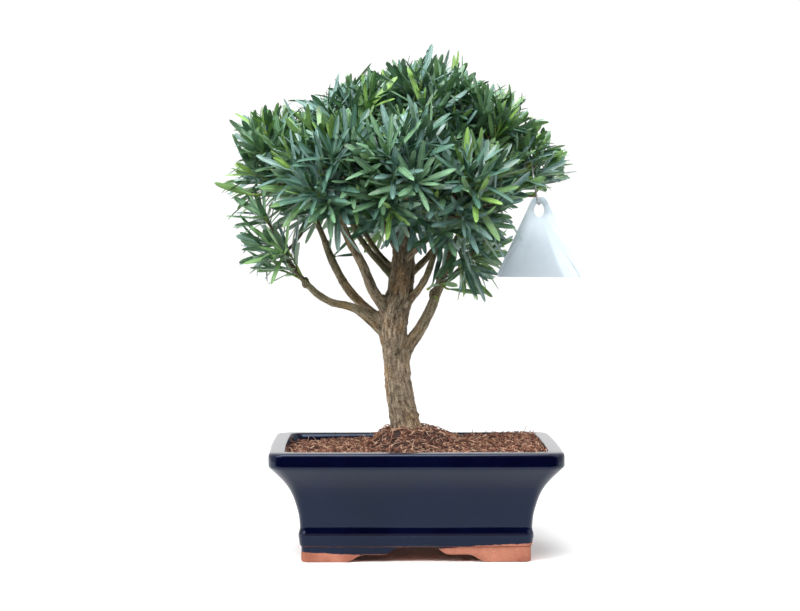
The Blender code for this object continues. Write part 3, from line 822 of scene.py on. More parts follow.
@dataclass(frozen=True)
class Limb:
    """A tapering limb: its points and radii in millimetres, and how green its two ends are."""

    name: str
    points: tuple[tuple[float, float, float], ...]
    base_radius: float
    tip_radius: float
    young: tuple[float, float] = (0.0, 0.35)

    def line(self, per_span: int = 2) -> tuple[list[Vector], list[float]]:
        """Gives the limb's centre line and its radius at each point, in metres."""
        path = smooth_path([Vector(point) * MM for point in self.points], per_span)
        taper = (self.tip_radius - self.base_radius) / (len(path) - 1)
        return path, [(self.base_radius + taper * i) * MM for i in range(len(path))]


@dataclass(frozen=True)
class ShownShoot:
    """A shoot that the photograph shows plainly: its root, tip and heading, in millimetres."""

    root: tuple[float, float, float]
    tip: tuple[float, float, float]
    heading: tuple[float, float, float]
    leaves: int = 14


@dataclass(frozen=True)
class Mass:
    """A mass of foliage: the limb that carries it, its heart and its half-sizes in millimetres."""

    name: str
    limb: str
    heart: tuple[float, float, float]
    reach: tuple[float, float, float]
    shown: tuple[ShownShoot, ...] = ()
    shoots: int = 8
    side_shoots: int = 4

    def middle(self) -> Vector:
        """Gives the mass's heart in metres."""
        return Vector(self.heart) * MM

    def depth(self, points: np.ndarray) -> np.ndarray:
        """Tells how far out points lie: 0 at the heart and 1 at the mass's edge."""
        away = (points - np.array(self.heart) * MM) / (np.array(self.reach) * MM)
        return np.linalg.norm(away, axis=-1)


@dataclass(frozen=True)
class CrownOutline:
    """The outline of the crown as seen from the front, as a polygon of x and z in millimetres."""

    corners: tuple[tuple[float, float], ...] = (
        (-182, 326), (-177, 333), (-166, 336), (-161, 350), (-160, 366), (-172, 388), (-162, 394),
        (-150, 391), (-135, 402), (-118, 405), (-98, 404), (-85, 413), (-70, 423), (-52, 432),
        (-32, 438), (-16, 450), (2, 446), (14, 454), (38, 456), (50, 434), (64, 422), (82, 416),
        (99, 408), (105, 390), (117, 384), (126, 366), (142, 358), (150, 352), (144, 337), (136, 322),
        (120, 317), (104, 316), (91, 308), (84, 298), (94, 286), (88, 262), (82, 240), (78, 222),
        (62, 219), (46, 221), (30, 219), (26, 202), (12, 204), (11, 236), (16, 256), (8, 260),
        (-4, 256), (-14, 260), (-24, 270), (-38, 260), (-52, 258), (-66, 254), (-77, 260), (-83, 276),
        (-91, 288), (-99, 280), (-98, 266), (-104, 258), (-109, 246), (-122, 236), (-138, 236),
        (-150, 248), (-160, 257), (-154, 270), (-160, 281), (-170, 294), (-174, 299), (-167, 310),
        (-176, 318),
    )

    def holds(self, points: np.ndarray) -> np.ndarray:
        """Tells which points lie inside the outline.

        Args:
            points: The points, one to a row, in metres.

        Returns:
            One truth for each point.
        """
        x, z = points[:, 0] / MM, points[:, 2] / MM
        inside = np.zeros(len(points), bool)
        for (x0, z0), (x1, z1) in zip(self.corners, self.corners[1:] + self.corners[:1]):
            spans = (z0 > z) != (z1 > z)
            crossing = x0 + (z - z0) * (x1 - x0) / (z1 - z0 if z1 != z0 else 1)
            inside ^= spans & (x < crossing)
        return inside


@dataclass(frozen=True)
class TreePlan:
    """The trunk, the boughs and the masses, in the source's own sizes.

    The trunk's points and radii are millimetres. A mass's stem starts inside its bough's tip.
    """

    stem_seat: float = 4 * MM
    stem_share: float = 0.84
    stem_tip: float = 1.8 * MM
    stem_stiffness: float = 0.45
    trunk: tuple[tuple[tuple[float, float, float], float], ...] = (
        ((-7.4, 0, 108), 15.8), ((-8.6, 0, 114), 12.9), ((-13.6, -1, 143), 11.7),
        ((-17.0, 0, 177), 11.0), ((-19.5, 0, 199), 12.3), ((-18.0, 0, 214), 13.2),
        ((-13.0, 0, 232), 11.0), ((-10.5, 0, 252), 10.2), ((-9.4, 1, 276), 8.8),
        ((-6.0, 2, 302), 6.0), ((-1.0, 1, 332), 4.0),
    )
    limbs: tuple[Limb, ...] = (
        Limb("bough_low_left", ((-19, 0, 186), (-37, -5, 204), (-50, -7, 215), (-61, -8, 219.6),
                                (-73.6, -9, 222.3), (-86, -10, 229.5), (-97.4, -10, 240.4)),
             4.3, 2.9, (0.15, 0.45)),
        Limb("bough_left", ((-20, 0, 199), (-43.7, 4, 217.2), (-60, 5, 234.7), (-72.5, 5, 257),
                            (-80, 5, 277)), 4.5, 3.2, (0.1, 0.4)),
        Limb("bough_front_left", ((-20, -2, 208), (-36.2, -12, 231.4), (-46.1, -20, 255.2),
                                  (-57.4, -27, 276.3), (-69, -36, 303)), 5.0, 3.2, (0.0, 0.25)),
        Limb("bough_top_left", ((-14, 3, 238), (-29.9, 8, 255.9), (-43.7, 8, 272.2), (-57, 7, 296),
                                (-62, 6, 328)), 3.0, 2.2, (0.5, 0.95)),
        Limb("bough_back_left", ((-12, 6, 246), (-31, 20, 264), (-46, 38, 286)), 2.9, 2.2),
        Limb("bough_back_top", ((-10, 4, 258), (-26, 16, 290), (-34, 30, 322)), 3.0, 2.3),
        Limb("bough_right", ((-14, 0, 172), (-2, 0, 188), (6.2, -1, 200.8), (13.6, -3, 215),
                             (20.6, -4, 232.9), (36.4, -4, 275), (62, -2, 312)), 6.2, 3.2, (0.05, 0.3)),
        Limb("bough_low_right", ((27.5, -4, 250), (35, -8, 256), (43, -12, 261)), 2.3, 2.0, (0.4, 0.7)),
        Limb("bough_top_right", ((-12, -2, 216), (3.6, -8, 234.3), (12, -12, 250), (20, -13, 276),
                                 (32, -12, 318)), 3.6, 2.4, (0.0, 0.95)),
        Limb("bough_front", ((-9, 0, 268), (-11, -20, 286), (-14, -34, 302)), 2.9, 2.2),
        Limb("bough_front_right", ((-10, -2, 258), (7, -26, 275), (20, -42, 289)), 2.8, 2.1),
        Limb("bough_back_right", ((-11, 2, 240), (12, 20, 262), (34, 38, 290)), 3.2, 2.4),
        Limb("bough_back", ((-9, 2, 262), (-8, 26, 281), (-9, 50, 298)), 2.9, 2.2),
    )
    masses: tuple[Mass, ...] = (
        Mass("foliage_low_left", "bough_low_left", (-122, -8, 277), (54, 50, 47), (
            ShownShoot((-99, -10, 242), (-122, -14, 252), (-0.78, -0.3, 0.2)),
            ShownShoot((-99, -10, 242), (-112, -16, 268), (-0.5, -0.3, 0.8)),
            ShownShoot((-112, -10, 262), (-132, -12, 276), (-0.9, -0.1, 0.35)),
        ), 4, 2),
        Mass("foliage_left", "bough_left", (-120, 5, 346), (62, 60, 60), (
            ShownShoot((-126, -14, 348), (-138, -18, 359), (-0.72, -0.2, 0.65), 7),
            ShownShoot((-134, -14, 318), (-148, -20, 318), (-0.95, -0.2, 0.12), 6),
            ShownShoot((-76, 5, 264), (-70, 5, 263), (0.97, 0.1, 0.1), 3),
        )),
        Mass("foliage_front_left", "bough_front_left", (-74, -56, 335), (60, 60, 60), (
            ShownShoot((-71, -44, 306), (-68, -72, 308), (-0.15, -0.95, 0.1)),
            ShownShoot((-73, -50, 320), (-92, -78, 322), (-0.6, -0.7, 0.3)),
            ShownShoot((-72, -50, 316), (-48, -74, 320), (0.5, -0.75, 0.35)),
            ShownShoot((-68, -38, 300), (-72, -44, 290), (-0.5, -0.4, -0.75), 7),
        )),
        Mass("foliage_top_left", "bough_top_left", (-60, 6, 380), (62, 60, 58)),
        Mass("foliage_top", "trunk", (12, 0, 390), (62, 60, 60), (
            ShownShoot((14, -8, 398), (22, -10, 411), (0.5, -0.1, 0.85), 6),
            ShownShoot((2, -8, 394), (-7, -10, 405), (-0.15, -0.1, 0.98), 6),
        )),
        Mass("foliage_front", "bough_front", (-10, -65, 333), (58, 66, 64), (
            ShownShoot((-12, -44, 310), (-30, -62, 296), (-0.5, -0.75, 0.05)),
            ShownShoot((-12, -44, 310), (8, -66, 294), (0.35, -0.85, -0.1)),
            ShownShoot((-12, -42, 306), (-6, -52, 292), (0.15, -0.6, -0.75), 9),
        )),
        Mass("foliage_top_right", "bough_top_right", (64, -8, 371), (62, 60, 57)),
        Mass("foliage_right", "bough_right", (90, 4, 334), (56, 62, 56), (
            ShownShoot((84, -12, 324), (94, -22, 322), (0.97, -0.1, -0.03), 6),
        )),
        Mass("foliage_front_right", "bough_front_right", (42, -58, 314), (56, 62, 58), (
            ShownShoot((24, -45, 292), (22, -66, 284), (-0.1, -0.9, 0.2)),
            ShownShoot((26, -46, 293), (42, -62, 280), (0.6, -0.6, -0.2)),
            ShownShoot((34, -50, 300), (62, -70, 300), (0.8, -0.5, 0.1)),
        )),
        Mass("foliage_low_right", "bough_low_right", (54, -2, 270), (44, 50, 48), (
            ShownShoot((46, -12, 264), (48, -24, 254), (0.6, -0.4, -0.45)),
            ShownShoot((46, -12, 264), (60, -16, 262), (0.9, -0.2, 0.1)),
            ShownShoot((44, -10, 262), (42, -4, 248), (0.75, 0.1, -0.5)),
            ShownShoot((46, -12, 264), (54, 4, 266), (0.7, 0.5, 0.3)),
            ShownShoot((24, -8, 240), (31, -12, 234), (0.97, -0.15, -0.05), 6),
            ShownShoot((18, -8, 228), (21, -11, 223), (0.35, -0.25, -0.9), 5),
            ShownShoot((11, -14, 234), (16, -18, 240), (0.3, -0.2, 0.93), 7),
        ), 6, 2),
        Mass("foliage_back_left", "bough_back_left", (-76, 66, 322), (64, 66, 66), (), 10),
        Mass("foliage_back_top", "bough_back_top", (-26, 58, 378), (62, 62, 56), (), 10),
        Mass("foliage_back", "bough_back", (-8, 80, 308), (58, 62, 60), (), 10),
        Mass("foliage_back_right", "bough_back_right", (58, 62, 324), (62, 64, 64), (), 10),
    )

    def trunk_line(self, per_span: int = 2) -> tuple[list[Vector], list[float]]:
        """Gives the trunk's centre line and its radius at each point, in metres."""
        path = smooth_path([Vector(point) * MM for point, _ in self.trunk], per_span)
        radii = smooth_path([Vector((radius * MM, 0, 0)) for _, radius in self.trunk], per_span)
        return path, [radius.x for radius in radii]

    def line_of(self, name: str, per_span: int = 2) -> tuple[list[Vector], list[float]]:
        """Gives the centre line and radii of the trunk or a bough by its name."""
        if name == "trunk":
            return self.trunk_line(per_span)
        return next(limb for limb in self.limbs if limb.name == name).line(per_span)

    def in_cell(self, point: Vector, mass: Mass) -> bool:
        """Tells whether a point is nearer to the mass's heart than to any other."""
        own = (point - mass.middle()).length
        return all((point - other.middle()).length >= own for other in self.masses)

    def stem_of(self, mass: Mass) -> tuple[list[Vector], list[float]]:
        """Gives a mass's stem, from its limb's tip to its heart."""
        path, radii = self.line_of(mass.limb)
        heading = (path[-1] - path[-2]).normalized()
        start = path[-1] - heading * self.stem_seat
        heart = mass.middle()
        bend = start + heading * (heart - start).length * self.stem_stiffness
        first = radii[-1] * self.stem_share
        steps = range(4)
        stem = [bent(start, bend, heart, i / 3) for i in steps]
        return stem, [first + (self.stem_tip - first) * i / 3 for i in steps]


@dataclass(frozen=True)
class Pot:
    """The glazed bowl and its four clay feet, by the source's sizes.

    The profiles, the arch and the thin spots are millimetres: how far in from the rim's outline
    and how high, how far from the middle and how high, and how high and how wide.
    """

    length: float = 256 * MM
    depth: float = 200 * MM
    corner: float = 15 * MM
    bow: float = 1.0 * MM
    corner_steps: int = 9
    side_steps: int = 10
    outside: tuple[tuple[float, float], ...] = (
        (27.8, 13.6), (26.6, 14.3), (26.1, 16.2), (25.7, 19.0), (25.2, 22.0), (25.2, 24.6),
        (25.9, 27.0), (26.25, 28.8), (26.35, 30.6), (26.2, 33.2), (25.4, 40.5), (23.3, 49.0),
        (20.3, 58.0), (16.4, 65.6), (11.6, 72.0), (7.2, 76.9), (3.5, 80.8), (1.1, 83.4),
        (0.15, 85.2), (0.0, 88.0), (0.0, 91.0), (0.2, 94.4), (1.2, 96.3), (3.2, 97.0),
    )
    inside: tuple[tuple[float, float], ...] = (
        (12.6, 97.0), (14.0, 95.6), (18.0, 84.0), (24.5, 74.0), (32.0, 58.0), (36.0, 40.0),
        (38.0, 22.0),
    )
    drain_radius: float = 7 * MM
    drain_spacing: float = 90 * MM
    base_inset: float = 28.5 * MM
    foot_corner: float = 6.5 * MM
    foot_thickness: float = 15 * MM
    unevenness: float = 0.28 * MM
    foot_top: float = 13.3 * MM
    foot_rounding: float = 1.8 * MM
    foot_web: float = 0.4 * MM
    foot_stops: tuple[int, int, int] = (44, 8, 32)
    side_arch: float = 0.74
    arch: tuple[tuple[float, float], ...] = ((14, 13.6), (28, 6.5), (45, 6.5), (61, 0))
    thin_spots: tuple[tuple[float, float, float], ...] = ((96.3, 1.1, 1.0), (24.4, 0.8, 0.5))

    def corner_radius(self, inset: float) -> float:
        """Gives the radius of the outline's corners where the outline is moved in."""
        return max(self.corner - 0.3 * inset, 4 * MM)

    def plan(self, inset: float, height: float) -> Ring:
        """Draws the pot's outline seen from above.

        Args:
            inset: How far it is moved in, in metres.
            height: The height that it is drawn at.

        Returns:
            Its points, as a rectangle with round corners and bowed sides.
        """
        half_x, half_y = self.length / 2 - inset, self.depth / 2 - inset
        radius = self.corner_radius(inset)
        signs = ((1, 1), (-1, 1), (-1, -1), (1, -1))
        hubs = [
            Vector((x * (half_x - self.bow - radius), y * (half_y - self.bow - radius), height))
            for x, y in signs
        ]
        ring = []
        for quarter, hub in enumerate(hubs):
            for step in range(self.corner_steps + 1):
                angle = math.pi / 2 * (quarter + step / self.corner_steps)
                ring.append(hub + Vector((math.cos(angle), math.sin(angle), 0)) * radius)
            angle = math.pi / 2 * (quarter + 1)
            outward = Vector((math.cos(angle), math.sin(angle), 0))
            start, end = hub + outward * radius, hubs[(quarter + 1) % 4] + outward * radius
            for step in range(1, self.side_steps):
                share = step / self.side_steps
                swell = self.bow * (1 - (2 * share - 1) ** 2)
                ring.append(start.lerp(end, share) + outward * swell)
        return ring

    def keep_inside(self, x: float, y: float, inset: float) -> tuple[float, float]:
        """Moves a point in to the pot's outline.

        Args:
            x: The point's place along the pot.
            y: The point's place across the pot.
            inset: How far the outline is moved in.

        Returns:
            The point's new place.
        """
        half_x, half_y = self.length / 2 - inset - self.bow, self.depth / 2 - inset - self.bow
        radius = self.corner_radius(inset)
        hub_x = max(-half_x + radius, min(half_x - radius, x))
        hub_y = max(-half_y + radius, min(half_y - radius, y))
        away = Vector((x - hub_x, y - hub_y))
        if away.length > radius:
            away = away.normalized() * radius
        return hub_x + away.x, hub_y + away.y

    def thinness(self, height: float) -> float:
        """Tells how thin the glaze runs at a height: 1 along the lip and the bands."""
        return max(
            peak * math.exp(-(((height / MM - at) / spread) ** 2))
            for at, spread, peak in self.thin_spots
        )

    def build_bowl(self) -> None:
        """Builds the bowl with its rim, bands and drain holes."""
        outer = smooth_path([Vector((i, 0, z)) * MM for i, z in self.outside], 4)
        inner = smooth_path([Vector((i, 0, z)) * MM for i, z in self.inside], 3)
        mesh = to_mesh(draw_skin([self.plan(p.x, p.z) for p in outer + inner]), "bowl")
        mesh = self.drill(mesh)
        for vert in mesh.vertices:
            wave = noise.noise(Vector((vert.co.x, vert.co.y, 1.6 * vert.co.z)) * 16)
            vert.co += Vector((vert.co.x, vert.co.y, 0)).normalized() * wave * self.unevenness
        thin = mesh.attributes.new("thin", "FLOAT", "POINT")
        for spot, vert in zip(thin.data, mesh.vertices):
            spot.value = self.thinness(vert.co.z)
        Piece("pot_bowl", Slot.GLAZE, (GlazedClay("glazed_clay"),), ("pot",), crease=50).stand(mesh)

    def drill(self, mesh: bpy.types.Mesh) -> bpy.types.Mesh:
        """Cuts the drain holes.

        Args:
            mesh: The bowl without them.

        Returns:
            The bowl with them.
        """
        bowl = add_object("bowl_blank", mesh)
        drills = []
        for side in (-1, 1):
            bm = bmesh.new()
            bmesh.ops.create_cone(
                bm, cap_ends=True, segments=32, radius1=self.drain_radius, radius2=self.drain_radius,
                depth=40 * MM, matrix=Matrix.Translation((side * self.drain_spacing / 2, 0, 20 * MM)),
            )
            drills.append(add_object("drill", to_mesh(bm, "drill")))
            cut = bowl.modifiers.new("Cut", "BOOLEAN")
            cut.operation, cut.solver, cut.object = "DIFFERENCE", "EXACT", drills[-1]
        bored = applied(bowl, *drills)
        bored.materials.clear()
        return bored

    def arch_height(self, along: float) -> float:
        """Gives the height of a foot's underside at a distance from the pot's middle.

        Args:
            along: The distance along the pot's side, in metres.

        Returns:
            The height: nothing at the toe, a step, and then up to the floor.
        """
        place = abs(along) / MM
        for (near, high), (far, low) in zip(self.arch, self.arch[1:]):
            if place < far:
                share = max((place - near) / (far - near), 0)
                eased = share * share * (3 - 2 * share)
                return (high + (low - high) * eased) * MM
        return 0.0

    def foot_line(self) -> list[tuple[Vector, Vector, float]]:
        """Walks round the outer face of one foot.

        Returns:
            Points on its outer face, the points across from them on its inner face, and the
            height of its underside there.
        """
        far_x, far_y = self.length / 2 - self.base_inset, self.depth / 2 - self.base_inset
        near_x, near_y = far_x - self.foot_thickness, far_y - self.foot_thickness
        hub = Vector((far_x - self.foot_corner, far_y - self.foot_corner, 0))
        walk = []
        start = (self.arch[0][0] + 1.2) * MM
        front_stops, corner_stops, side_stops = self.foot_stops
        for step in range(front_stops):
            x = start + (hub.x - start) * step / front_stops
            walk.append((Vector((x, far_y, 0)), Vector((0, 1, 0)), self.arch_height(x)))
        for step in range(corner_stops + 1):
            angle = math.pi / 2 * (1 - step / corner_stops)
            outward = Vector((math.cos(angle), math.sin(angle), 0))
            walk.append((hub + outward * self.foot_corner, outward, 0.0))
        end = start * self.side_arch
        for step in range(1, side_stops + 1):
            y = hub.y + (end - hub.y) * step / side_stops
            walk.append((Vector((far_x, y, 0)), Vector((1, 0, 0)), self.arch_height(y / self.side_arch)))
        line = []
        for outer, outward, under in walk:
            inner = outer - outward * self.foot_thickness
            inner.x, inner.y = min(inner.x, near_x), min(inner.y, near_y)
            line.append((outer, inner, min(under, self.foot_top - self.foot_web)))
        return line

    def foot_section(self, outer: Vector, inner: Vector, under: float) -> Ring:
        """Draws a foot's cross-section, with rounded lower edges."""
        soft = min(self.foot_rounding, (self.foot_top - under) * 0.4)
        across = (inner - outer).length
        steps = (
            (0.0, self.foot_top), (0.0, under + soft), (0.3 * soft, under + 0.3 * soft), (soft, under),
            (across - soft, under), (across - 0.3 * soft, under + 0.3 * soft), (across, under + soft),
            (across, self.foot_top),
        )
        return [outer.lerp(inner, u / across) + UP * z for u, z in steps]

    def build_feet(self) -> None:
        """Builds the four feet, each a mirror image of the first."""
        sections = [self.foot_section(*stop) for stop in self.foot_line()]
        finishes = (GlazedClay("glazed_clay"),)
        for side_y, row in ((-1, "front"), (1, "back")):
            for side_x, hand in ((-1, "left"), (1, "right")):
                bm = draw_skin(sections)
                bmesh.ops.remove_doubles(bm, verts=bm.verts, dist=0.02 * MM)
                bmesh.ops.scale(bm, vec=(side_x, side_y, 1), verts=bm.verts)
                mesh = to_mesh(bm, "foot")
                mesh.attributes.new("thin", "FLOAT", "POINT")
                node = f"foot_{row}_{hand}"
                Piece(f"{node}_glazed", Slot.CLAY, finishes, (node,), crease=40).stand(mesh)

    def build(self) -> None:
        """Builds the whole pot."""
        self.build_bowl()
        self.build_feet()


@dataclass(frozen=True)
class Mulch:
    """The mulch: a filling with a rough top, and thousands of curly strands on it.

    Its surface is a slope, with a mound round the trunk's foot and a sag along the pot's wall. The
    filling's sides are millimetres: how far in from the rim's outline they are, and how high.
    """

    pot: Pot
    edge: float = 91.0 * MM
    mound: float = 18.0 * MM
    rise_right: float = 4.6 * MM
    rise_back: float = 0.2 * MM
    sag: float = 1.8 * MM
    sag_reach: float = 6 * MM
    spread_right: float = 30 * MM
    spread_left: float = 16 * MM
    foot_reach: float = 15 * MM
    foot: tuple[float, float] = (-8 * MM, 0)
    sides: tuple[tuple[float, float], ...] = (
        (18.6, 84), (25.2, 74), (32.6, 58), (36.6, 40), (38.6, 22.7),
    )
    crust_inset: float = 14.3 * MM
    crust_roughness: float = 1.0 * MM
    crust_lift: float = 0.5 * MM
    cells: tuple[int, int] = (150, 116)
    strands: int = 6200
    strand_length: tuple[float, float] = (6, 13)
    strand_radius: tuple[float, float] = (0.22, 0.46)
    strand_taper: tuple[float, ...] = (0.5, 0.9, 1, 1, 0.85, 0.4)
    strand_inset: float = 0.6 * MM
    strand_lift: tuple[float, float] = (0.0, 1.7)
    loose_share: float = 0.03
    highest: float = 3.6 * MM
    loose_highest: float = 9 * MM
    finishes: tuple[Fibre, ...] = (
        Fibre("fibre_brown", screen(156, 108, 86)),
        Fibre("fibre_rust", screen(126, 78, 60)),
        Fibre("fibre_straw", screen(214, 174, 146)),
        Fibre("fibre_dark", screen(54, 34, 28)),
    )
    dealt: tuple[int, ...] = (0, 0, 0, 1, 1, 1, 2, 2, 3, 3)

    def height(self, x: float, y: float) -> float:
        """Gives the height of the mulch's surface, a mound round the trunk."""
        half_x, half_y = self.pot.length / 2, self.pot.depth / 2
        slope = self.rise_right * x / half_x + self.rise_back * y / half_y
        away = Vector((x - self.foot[0], y - self.foot[1]))
        toward_right = (1 + away.x / max(away.length, self.foot_reach)) / 2
        spread = self.spread_left + (self.spread_right - self.spread_left) * toward_right
        mound = math.exp(-((max(away.length - self.foot_reach, 0) / spread) ** 2))
        beside = min(half_x - abs(x), half_y - abs(y)) - self.crust_inset
        sag = self.sag * math.exp(-max(beside, 0) / self.sag_reach)
        return min(self.edge + slope + self.mound * mound - sag, GROUND - GAP)

    def lump(self, x: float, y: float) -> float:
        """Gives how far the crust is heaped up at a place, in clumps and crumbs."""
        clump = 0.7 + noise.noise(Vector((x, y, 0)) * 60)
        crumb = noise.noise(Vector((x, y, 1)) * 210) + 0.6 * noise.noise(Vector((x, y, 2)) * 480)
        return self.crust_roughness * (clump + 0.7 * crumb)

    def build_filling(self) -> None:
        """Builds the filling of the pot, with its rough top."""
        bm = bmesh.new()
        bmesh.ops.create_grid(bm, x_segments=self.cells[0], y_segments=self.cells[1], size=0.5)
        for vert in bm.verts:
            x, y = vert.co.x * (self.pot.length - 26 * MM), vert.co.y * (self.pot.depth - 26 * MM)
            x, y = self.pot.keep_inside(x, y, self.crust_inset)
            vert.co = (x, y, self.height(x, y) + self.lump(x, y) + self.crust_lift)
        bmesh.ops.remove_doubles(bm, verts=bm.verts, dist=0.01 * MM)
        rim = [edge for edge in bm.edges if edge.is_boundary]
        for inset, height in self.sides:
            drawn = bmesh.ops.extrude_edge_only(bm, edges=rim)["geom"]
            for vert in (item for item in drawn if isinstance(item, bmesh.types.BMVert)):
                x, y = self.pot.keep_inside(vert.co.x, vert.co.y, inset * MM)
                vert.co = (x, y, height * MM)
            rim = [item for item in drawn if isinstance(item, bmesh.types.BMEdge)]
            rim = [edge for edge in rim if edge.is_boundary]
        bmesh.ops.edgeloop_fill(bm, edges=rim)
        Piece("mulch_filling", Slot.MULCH, (self.finishes[3],), ("mulch",)).stand(to_mesh(bm, "filling"))

    def strand(self, rng: random.Random, batch: TubeBatch) -> None:
        """Adds one curly strand.

        Args:
            rng: Where the chances come from.
            batch: What it is added to.
        """
        x = rng.uniform(-1, 1) * (self.pot.length / 2 - 14 * MM)
        y = rng.uniform(-1, 1) * (self.pot.depth / 2 - 14 * MM)
        loose = rng.random() < self.loose_share
        length = rng.uniform(*self.strand_length) * MM * (1.2 if loose else 1)
        lift = rng.uniform(*self.strand_lift) * MM
        azimuth = rng.uniform(0, 2 * math.pi)
        pitch = rng.uniform(0.15, 0.9) if loose else rng.uniform(-0.3, 0.4)
        level = math.cos(pitch)
        way = Vector((math.cos(azimuth) * level, math.sin(azimuth) * level, math.sin(pitch)))
        axis = Vector((rng.gauss(0, 0.6), rng.gauss(0, 0.6), rng.choice((-1, 1)))).normalized()
        turn = rng.uniform(0.1, 1.1) * (0.5 if loose else 1)
        step = length / (len(self.strand_taper) - 1)
        point = Vector((x, y, 0))
        path = []
        base = None
        for _ in self.strand_taper:
            px, py = self.pot.keep_inside(point.x, point.y, self.crust_inset + self.strand_inset)
            floor = self.height(px, py) + self.lump(px, py) + self.strand_inset
            base = floor if base is None else base
            high = point.z + base + lift if loose else max(point.z + base + lift, floor)
            path.append((px, py, min(high, floor + (self.loose_highest if loose else self.highest))))
            point = point + way * step
            way = Quaternion(axis, turn) @ way
        thick = rng.uniform(*self.strand_radius) * MM
        batch.add(path, [thick * taper for taper in self.strand_taper], rng.choice(self.dealt))

    def build_strands(self) -> None:
        """Builds the strands in one piece."""
        rng = random.Random(f"strands {SEED}")
        batch = TubeBatch(3)
        for _ in range(self.strands):
            self.strand(rng, batch)
        Piece("mulch_strands", Slot.MULCH, self.finishes, crease=180).stand(batch.mesh("strands"))

    def build(self) -> None:
        """Fills the pot and lays the strands on top."""
        self.build_filling()
        self.build_strands()


